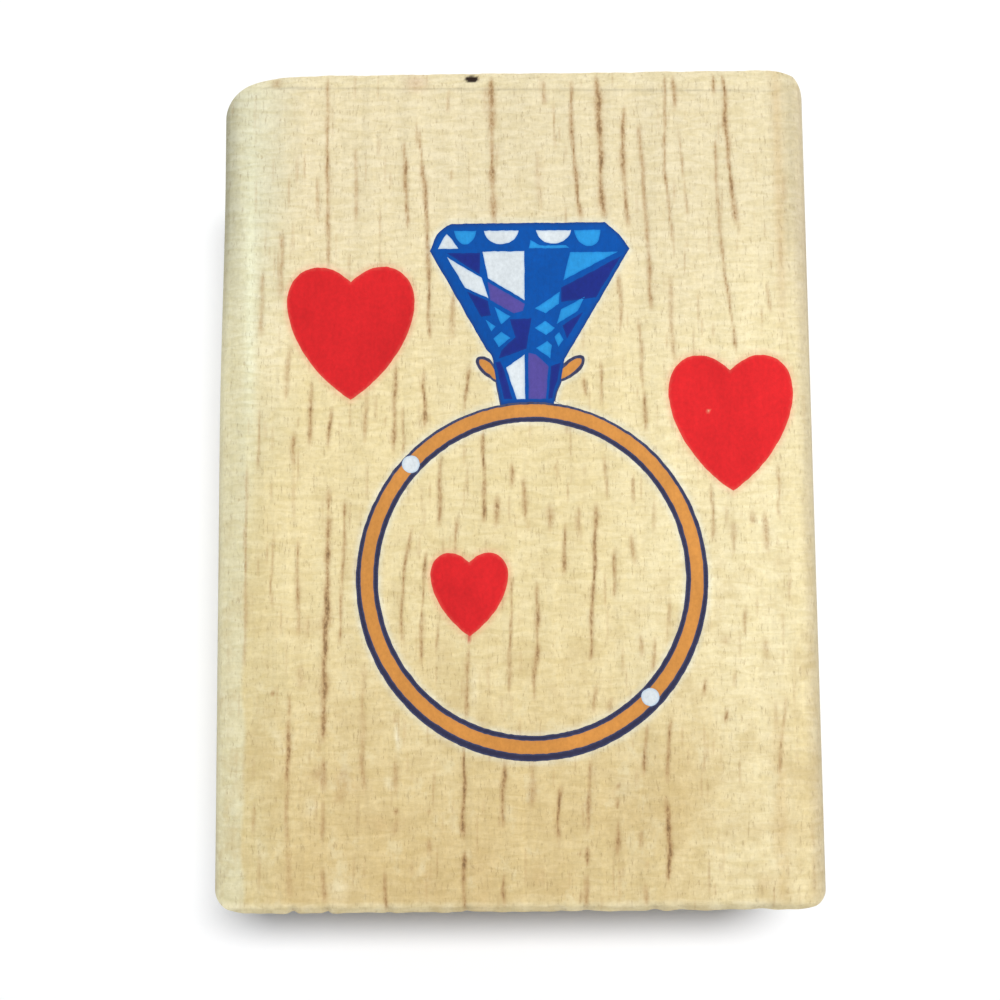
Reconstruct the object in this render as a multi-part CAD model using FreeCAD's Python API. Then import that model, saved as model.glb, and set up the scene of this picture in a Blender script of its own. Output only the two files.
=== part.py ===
import FreeCAD, Part
import math
import os

# Wood-mounted rubber stamp, in millimetres.
# The stamp stands on its rubber face: z = 0 is the printing surface and the origin is the middle of the
# block's footprint. +Z points out of the printed top, +Y to the far end, which is the top of the picture.

# ---- driving dimensions -------------------------------------------------------------------------------
BLOCK_WIDTH = 50.0
BLOCK_LENGTH = 70.4
BLOCK_HEIGHT = 18.0
RELIEF_HEIGHT = 1.4
DIE_BASE = 1.2
FILM = 0.1
CUSHION = 3.2
INK = 0.04

TOP_EDGE_RADIUS = 2.0
FOOT_EDGE_RADIUS = 0.8
GROOVE_RADIUS = 7.5
GROOVE_DEPTH = 1.1
GROOVE_DROP = 9.5
FAR_BEVEL = (1.3, 0.7)
NEAR_BEVEL = (0.6, 0.5)
# plan corners, from near left anticlockwise: near left, near right, far right, far left
CORNER_RADII = (1.8, 1.6, 1.6, 3.8)

# ring: widths are taken along x, and every outline is taller than it is wide by the stretch
RING_X = 1.25
RING_Y = -8.12
RING_STRETCH = 1.02
BAND_INNER = 13.1
BAND_OUTER = 14.13
INNER_LINE = 0.41
OUTER_LINE = 0.39
OUTER_LINE_DROP = 0.2
GLINT_ANGLES = (137.0, -45.4)
GLINT_RADIUS = 0.74

# hearts: middle x, y of the widest level, half width, height factor
HEARTS = ((-13.72, 15.2, 5.36, 0.985), (18.0, 7.3, 5.18, 1.03), (-3.91, -7.86, 3.2, 1.0))
# right half of a heart of half width 1, from its notch round to its tip: handle, handle, end of each stretch
HEART_NOTCH = (0.0, 0.32)
HEART_STRETCHES = (
    ((0.14, 0.44), (0.28, 0.56), (0.5, 0.56)),
    ((0.8, 0.56), (1.0, 0.32), (1.0, 0.0)),
    ((1.0, -0.58), (0.55, -1.23), (0.0, -1.58)),
)

GEM_X = 1.35
TABLE_Y = 21.8
GIRDLE_Y = 19.5
MOON_Y = 21.15

# ---- derived heights ----------------------------------------------------------------------------------
DIE_TOP = RELIEF_HEIGHT + DIE_BASE
CUSHION_FOOT = DIE_TOP + FILM
CUSHION_TOP = CUSHION_FOOT + CUSHION
BLOCK_FOOT = CUSHION_TOP + FILM
BLOCK_TOP = BLOCK_FOOT + BLOCK_HEIGHT

# ---- picture, as outlines in plan ---------------------------------------------------------------------
# half of the gem's outline, from the table down, as distances from its axis
GEM_EDGE = ((6.6, TABLE_Y), (7.6, 20.9), (8.42, GIRDLE_Y), (3.22, 10.1), (2.4, 5.6))

# crown highlights under the table edge: middle, half width, depth
WHITE_MOONS = ((-2.35, 1.47, 1.15), (2.05, 1.47, 1.15))
SKY_MOONS = ((-5.4, 0.93, 1.15), (5.0, 1.22, 1.4))

# straight-edged facets, as points from the gem's axis
WHITE_FACETS = (
    ((-7.7, 19.65), (-6.0, 19.65), (-6.85, 20.9)),
    ((-3.95, 19.35), (-3.5, 17.05), (-0.45, 15.15), (-0.45, 19.35)),
    ((-6.95, 18.9), (-5.45, 16.3), (-3.5, 15.35), (-4.05, 17.1)),
    ((-2.05, 9.4), (-1.2, 6.75), (-0.5, 6.75), (-0.5, 10.5)),
)
SKY_FACETS = (
    ((3.4, 19.25), (2.9, 16.85), (7.45, 19.25)),
    ((-0.05, 19.6), (3.35, 19.6), (3.05, 19.85), (0.9, 19.85), (0.1, 20.35)),
    ((0.4, 14.45), (1.3, 14.0), (2.6, 14.85), (2.65, 15.85)),
    ((2.45, 13.1), (4.2, 14.2), (4.75, 15.4), (2.8, 14.35)),
    ((0.35, 12.75), (1.3, 12.15), (2.25, 12.75), (1.25, 13.35)),
    ((0.45, 11.05), (1.75, 10.15), (1.95, 11.3), (1.4, 11.65)),
    ((2.25, 12.0), (2.65, 11.15), (3.05, 11.75), (2.7, 12.4)),
    ((-3.0, 14.6), (-2.45, 13.1), (-1.65, 13.75)),
    ((-3.75, 13.5), (-3.25, 12.5), (-2.9, 12.95)),
    ((-3.1, 11.9), (-2.65, 11.15), (-1.65, 11.95), (-2.45, 12.5)),
)
VIOLET_FACETS = (
    ((-3.55, 16.75), (-3.35, 15.2), (-1.35, 14.05), (-0.6, 14.25), (-0.45, 14.85)),
    ((-0.2, 6.75), (1.2, 6.75), (1.55, 9.45), (0.45, 10.5), (-0.2, 10.65)),
)
INDIGO_FACETS = (
    ((-6.95, 19.25), (-4.2, 17.4), (-4.15, 19.25)),
    ((-5.3, 15.95), (-4.1, 13.75), (-3.3, 13.9), (-3.55, 15.1)),
    ((2.8, 15.0), (5.7, 15.35), (7.7, 18.85), (2.75, 16.2)),
    ((-1.7, 13.5), (-1.25, 12.0), (-2.35, 10.95), (-2.7, 10.2), (-0.35, 11.0), (0.1, 13.6)),
    ((2.95, 13.0), (3.35, 11.85), (4.65, 14.1)),
    ((-2.55, 9.95), (-2.3, 9.4), (-1.55, 6.75), (-2.25, 6.75), (-2.95, 9.9)),
    ((1.85, 9.5), (1.5, 6.75), (2.25, 6.75), (2.9, 9.8)),
)

# prong leaf on the right of the gem: foot and tip from the axis, width, and the line around it
LEAF_FOOT = (2.5, 8.3)
LEAF_TIP = (4.6, 10.1)
LEAF_WIDTH = 0.8
LEAF_LINE = 0.28
# how far along the leaf its handles stand, and how wide a crescent's handles stand apart
LEAF_HANDLES = (0.3, 0.95)
MOON_SPREAD = 0.8
# a cubic curve with both handles this far out bows out by 1
BOW_REACH = 4 / 3
# dark line from a leaf's foot down the gem's edge to the ring
STEM = ((2.4, 8.8), (2.15, 5.6), (2.5, 5.6), (3.0, 8.45))

# the die and the cushion are trimmed together along this outline
TRIM_POINTS = (
    (-12.0, -25.2),
    (12.5, -25.2),
    (24.5, -2.0),
    (24.5, 12.5),
    (10.5, 23.6),
    (-8.0, 23.6),
    (-21.3, 20.2),
    (-21.3, 4.0),
)
TRIM_RADII = (9.0, 9.0, 5.0, 4.0, 4.0, 4.0, 4.0, 9.0)


# ---- helpers ------------------------------------------------------------------------------------------
def vec(x, y, z=0.0):
    """Point from numbers."""
    return FreeCAD.Vector(x, y, z)


def slab(face, low, high):
    """Solid that fills a flat outline from one height to another."""
    body = face.copy()
    body.translate(vec(0, 0, low))
    return body.extrude(vec(0, 0, high - low))


def polygon(points):
    """Flat face with straight sides."""
    corners = [vec(x, y) for x, y in points]
    return Part.Face(Part.makePolygon(corners + corners[:1]))


def rounded_polygon(points, radii):
    """Flat face whose corners are arcs tangent to both of their sides."""
    edges = []
    exits = []
    count = len(points)
    for index in range(count):
        corner = vec(*points[index])
        before = (vec(*points[index - 1]) - corner).normalize()
        after = (vec(*points[(index + 1) % count]) - corner).normalize()
        half = before.getAngle(after) / 2
        setback = radii[index] / math.tan(half)
        middle = (before + after).normalize()
        crown = corner + middle * (radii[index] / math.sin(half) - radii[index])
        start = corner + before * setback
        end = corner + after * setback
        edges.append(Part.Arc(start, crown, end).toShape())
        exits.append((start, end))
    for index in range(count):
        edges.append(Part.LineSegment(exits[index - 1][1], exits[index][0]).toShape())
    return Part.Face(Part.Wire(Part.__sortEdges__(edges)))


def disc(x, y, radius):
    """Flat round face."""
    return Part.Face(Part.Wire(Part.makeCircle(radius, vec(x, y))))


def oval(x, y, half):
    """Flat face of one of the ring's outlines."""
    edge = Part.Ellipse(vec(x, y + half * RING_STRETCH), vec(x + half, y), vec(x, y))
    return Part.Face(Part.Wire(edge.toShape()))


def merge(shapes):
    """One shape from several."""
    if len(shapes) == 1:
        return shapes[0]
    return shapes[0].multiFuse(shapes[1:])


def export(shape, name):
    """Write one node and say what it holds."""
    shape.exportStep("parts/" + name + ".step")
    box = shape.BoundBox
    print(
        f"{name:18s} valid {shape.isValid()} solids {len(shape.Solids)} volume {shape.Volume:9.3f}"
        f" x {box.XMin:.2f}..{box.XMax:.2f} y {box.YMin:.2f}..{box.YMax:.2f} z {box.ZMin:.2f}..{box.ZMax:.2f}"
    )


# ---- block --------------------------------------------------------------------------------------------
def moulding(growth, foot):
    """Moulding of the block's cross-section, its sides and top moved out by growth."""
    half = BLOCK_WIDTH / 2 + growth
    top = BLOCK_TOP + growth
    radius = TOP_EDGE_RADIUS + growth
    groove_z = BLOCK_TOP - GROOVE_DROP
    reach = math.sqrt(2 * GROOVE_RADIUS * GROOVE_DEPTH - GROOVE_DEPTH**2)
    knee = 1 - math.sqrt(0.5)
    edges = [Part.LineSegment(vec(-half + radius, 0, top), vec(half - radius, 0, top)).toShape()]
    edges.append(
        Part.LineSegment(
            vec(-half + FOOT_EDGE_RADIUS, 0, foot), vec(half - FOOT_EDGE_RADIUS, 0, foot)
        ).toShape()
    )
    for side in (-1, 1):
        wall = side * half
        shoulder = vec(wall, 0, top - radius)
        lip = vec(wall, 0, groove_z + reach)
        sill = vec(wall, 0, groove_z - reach)
        heel = vec(wall, 0, foot + FOOT_EDGE_RADIUS)
        bend = vec(side * (half - radius * knee), 0, top - radius * knee)
        edges.append(Part.Arc(vec(side * (half - radius), 0, top), bend, shoulder).toShape())
        edges.append(Part.LineSegment(shoulder, lip).toShape())
        edges.append(Part.Arc(lip, vec(side * (half - GROOVE_DEPTH), 0, groove_z), sill).toShape())
        edges.append(Part.LineSegment(sill, heel).toShape())
        toe = vec(side * (half - FOOT_EDGE_RADIUS), 0, foot)
        turn = vec(
            side * (half - FOOT_EDGE_RADIUS * knee), 0, foot + FOOT_EDGE_RADIUS * knee
        )
        edges.append(Part.Arc(heel, turn, toe).toShape())
    section = Part.Face(Part.Wire(Part.__sortEdges__(edges)))
    section.translate(vec(0, -BLOCK_LENGTH / 2, 0))
    return section.extrude(vec(0, BLOCK_LENGTH, 0))


def end_bevel(end, bevel):
    """Wedge that takes the top edge off one sawn end."""
    run, drop = bevel
    y = end * BLOCK_LENGTH / 2
    wedge = Part.Face(
        Part.makePolygon(
            [
                vec(-BLOCK_WIDTH, y - end * run, BLOCK_TOP),
                vec(-BLOCK_WIDTH, y + end * run, BLOCK_TOP + drop),
                vec(-BLOCK_WIDTH, y + end * run, BLOCK_TOP - drop),
                vec(-BLOCK_WIDTH, y, BLOCK_TOP - drop),
                vec(-BLOCK_WIDTH, y - end * run, BLOCK_TOP),
            ]
        )
    )
    return wedge.extrude(vec(2 * BLOCK_WIDTH, 0, 0))


def wood_block():
    """Length of moulding with rounded plan corners and bevelled ends."""
    half_x = BLOCK_WIDTH / 2
    half_y = BLOCK_LENGTH / 2
    corners = ((-half_x, -half_y), (half_x, -half_y), (half_x, half_y), (-half_x, half_y))
    plan = rounded_polygon(corners, CORNER_RADII)
    block = moulding(0.0, BLOCK_FOOT).common(slab(plan, BLOCK_FOOT, BLOCK_TOP))
    block = block.cut(end_bevel(1, FAR_BEVEL))
    return block.cut(end_bevel(-1, NEAR_BEVEL))


# ---- picture ------------------------------------------------------------------------------------------
def heart(x, y, half, factor):
    """Heart whose widest level is y: two lobes meeting in a notch, full sides down to a point."""
    edges = []
    for side in (-1, 1):
        start = HEART_NOTCH
        for stretch in HEART_STRETCHES:
            curve = Part.BezierCurve()
            curve.setPoles(
                [
                    vec(x + side * half * across, y + factor * half * up)
                    for across, up in (start, *stretch)
                ]
            )
            edges.append(curve.toShape())
            start = stretch[-1]
    return Part.Face(Part.Wire(Part.__sortEdges__(edges)))


def facets(outlines):
    """Faces from outlines given from the gem's axis."""
    return [polygon([(GEM_X + x, y) for x, y in outline]) for outline in outlines]


def moons(crescents):
    """Half ellipses that hang from one straight line."""
    shapes = []
    for middle, half, depth in crescents:
        x = GEM_X + middle
        left = vec(x - half, MOON_Y)
        right = vec(x + half, MOON_Y)
        bow = Part.BezierCurve()
        bow.setPoles(
            [
                left,
                vec(x - half * MOON_SPREAD, MOON_Y - depth * BOW_REACH),
                vec(x + half * MOON_SPREAD, MOON_Y - depth * BOW_REACH),
                right,
            ]
        )
        chord = Part.LineSegment(right, left).toShape()
        shapes.append(Part.Face(Part.Wire([bow.toShape(), chord])))
    return shapes


def gem_outline():
    """Whole gem, reaching down into the ring's outer line."""
    right = [(GEM_X + x, y) for x, y in GEM_EDGE]
    left = [(GEM_X - x, y) for x, y in reversed(GEM_EDGE)]
    return polygon(right + left)


def leaf(side, growth):
    """Pointed leaf from foot to tip, moved out by growth all round."""
    foot = vec(GEM_X + side * LEAF_FOOT[0], LEAF_FOOT[1])
    tip = vec(GEM_X + side * LEAF_TIP[0], LEAF_TIP[1])
    along = (tip - foot).normalize()
    across = vec(-along.y, along.x)
    foot = foot - along * growth
    tip = tip + along * growth
    length = (tip - foot).Length
    bulge = (LEAF_WIDTH / 2 + growth) * BOW_REACH
    low, high = LEAF_HANDLES
    edges = []
    for hand in (-1, 1):
        curve = Part.BezierCurve()
        curve.setPoles(
            [
                foot,
                foot + along * length * low + across * hand * bulge,
                foot + along * length * high + across * hand * bulge,
                tip,
            ]
        )
        edges.append(curve.toShape())
    return Part.Face(Part.Wire(edges))


def stem(side):
    """Dark line beside the gem's foot."""
    return polygon([(GEM_X + side * x, y) for x, y in STEM])


def glints():
    """Round highlights, centred on the band."""
    middle = (BAND_INNER + BAND_OUTER) / 2
    shapes = []
    for angle in GLINT_ANGLES:
        turn = math.radians(angle)
        x = RING_X + middle * math.cos(turn)
        y = RING_Y + middle * RING_STRETCH * math.sin(turn)
        shapes.append(disc(x, y, GLINT_RADIUS))
    return merge(shapes)


def picture():
    """The eight printed colours, as faces that touch but never overlap."""
    ring_rim = oval(RING_X, RING_Y - OUTER_LINE_DROP, BAND_OUTER + OUTER_LINE)
    ring_hole = oval(RING_X, RING_Y, BAND_INNER - INNER_LINE)
    band = oval(RING_X, RING_Y, BAND_OUTER).cut(oval(RING_X, RING_Y, BAND_INNER))
    glint = glints()

    gem = gem_outline().cut(ring_rim)
    white = merge(facets(WHITE_FACETS) + moons(WHITE_MOONS))
    sky = merge(facets(SKY_FACETS) + moons(SKY_MOONS))
    violet = merge(facets(VIOLET_FACETS))
    indigo = merge(facets(INDIGO_FACETS))
    lights = merge([white, sky, violet])

    leaf_gold = merge([leaf(-1, 0.0), leaf(1, 0.0)]).cut(gem)
    leaf_rims = merge([leaf(-1, LEAF_LINE), leaf(1, LEAF_LINE), stem(-1), stem(1)])
    leaf_dark = leaf_rims.cut(merge([gem, leaf_gold, ring_rim]))
    ring_dark = ring_rim.cut(merge([ring_hole, band, glint]))

    return {
        "ink_red_hearts": merge([heart(*place) for place in HEARTS]),
        "ink_gold_band": merge([band.cut(glint), leaf_gold]),
        "ink_outline": merge([ring_dark, leaf_dark]),
        "ink_royal_blue": gem.cut(merge([lights, indigo])),
        "ink_indigo": indigo,
        "ink_sky_blue": sky,
        "ink_violet": violet,
        "ink_white": merge([white, glint]),
    }


# ---- mounting -----------------------------------------------------------------------------------------
def printed_films(colours):
    """Each colour as a film that follows the top of the block, rounded edges included."""
    skin_low = BLOCK_TOP - TOP_EDGE_RADIUS
    under = moulding(0.0, BLOCK_FOOT)
    over = moulding(INK, BLOCK_FOOT)
    films = {}
    for name, face in colours.items():
        column = slab(face, skin_low, BLOCK_TOP + TOP_EDGE_RADIUS)
        films[name] = column.common(over).cut(under)
    return films


def rubber_die(colours, trim):
    """Moulded sheet with the red and dark parts of the picture standing out of its face."""
    pieces = [slab(trim, RELIEF_HEIGHT, DIE_TOP)]
    for name in ("ink_red_hearts", "ink_outline", "ink_royal_blue", "ink_indigo"):
        pieces.append(slab(colours[name], 0, RELIEF_HEIGHT))
    return merge(pieces).removeSplitter()


def main():
    os.makedirs("parts", exist_ok=True)
    colours = picture()
    trim = rounded_polygon(TRIM_POINTS, TRIM_RADII)
    export(wood_block(), "wood_block")
    for name, film in printed_films(colours).items():
        export(film, name)
    export(slab(trim, CUSHION_TOP, BLOCK_FOOT), "block_adhesive")
    export(slab(trim, CUSHION_FOOT, CUSHION_TOP), "cushion")
    export(slab(trim, DIE_TOP, CUSHION_FOOT), "die_adhesive")
    export(rubber_die(colours, trim), "rubber_die")


main()
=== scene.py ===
"""Looks of a wood-mounted rubber stamp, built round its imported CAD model.

Plans and heights are worked out in millimetres, in the row frame, and MM turns them into metres when a mesh
is made.
"""

import math
from typing import NamedTuple

import bmesh
import bpy
import numpy as np
from mathutils import Matrix, Vector
from mathutils.geometry import delaunay_2d_cdt
from mathutils.kdtree import KDTree


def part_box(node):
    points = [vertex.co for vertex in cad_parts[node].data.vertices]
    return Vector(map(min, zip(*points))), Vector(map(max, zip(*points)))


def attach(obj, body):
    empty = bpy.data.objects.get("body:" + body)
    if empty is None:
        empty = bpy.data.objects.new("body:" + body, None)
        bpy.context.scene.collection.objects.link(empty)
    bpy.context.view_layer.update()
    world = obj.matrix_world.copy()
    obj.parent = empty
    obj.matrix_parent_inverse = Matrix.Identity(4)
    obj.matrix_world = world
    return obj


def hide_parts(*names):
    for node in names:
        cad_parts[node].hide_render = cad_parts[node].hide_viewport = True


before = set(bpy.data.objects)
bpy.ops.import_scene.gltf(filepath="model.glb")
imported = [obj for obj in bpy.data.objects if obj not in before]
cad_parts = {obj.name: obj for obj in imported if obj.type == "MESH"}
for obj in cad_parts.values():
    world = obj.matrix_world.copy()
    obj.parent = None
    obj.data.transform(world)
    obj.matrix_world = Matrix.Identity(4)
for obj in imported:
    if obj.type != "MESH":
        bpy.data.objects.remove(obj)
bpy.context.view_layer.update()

MM = 0.001

# ---- the block, as the CAD has it ----
block_low, block_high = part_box("wood_block")
HALF_X = block_high.x / MM
HALF_Y = block_high.y / MM
FOOT_Z = block_low.z / MM
TOP_Z = block_high.z / MM
INK_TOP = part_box("ink_red_hearts")[1].z / MM
TOP_RADIUS = 2.0
FOOT_RADIUS = 0.8
GROOVE_RADIUS = 7.5
GROOVE_DEPTH = 1.1
GROOVE_Z = TOP_Z - 9.5
GROOVE_HALF = math.sqrt(2 * GROOVE_RADIUS * GROOVE_DEPTH - GROOVE_DEPTH**2)
FAR_RUN, FAR_DROP = 1.3, 0.7
NEAR_RUN, NEAR_DROP = 0.6, 0.5
# plan corners: side in x, side in y, reach in x, reach in y
CORNERS = ((-1, -1, 3.2, 2.2), (1, -1, 2.8, 1.8), (1, 1, 3.4, 2.8), (-1, 1, 8.0, 3.8))
# the left edge is sanded back towards its far end
SANDED = 0.5
ARRIS = 0.14

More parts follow.
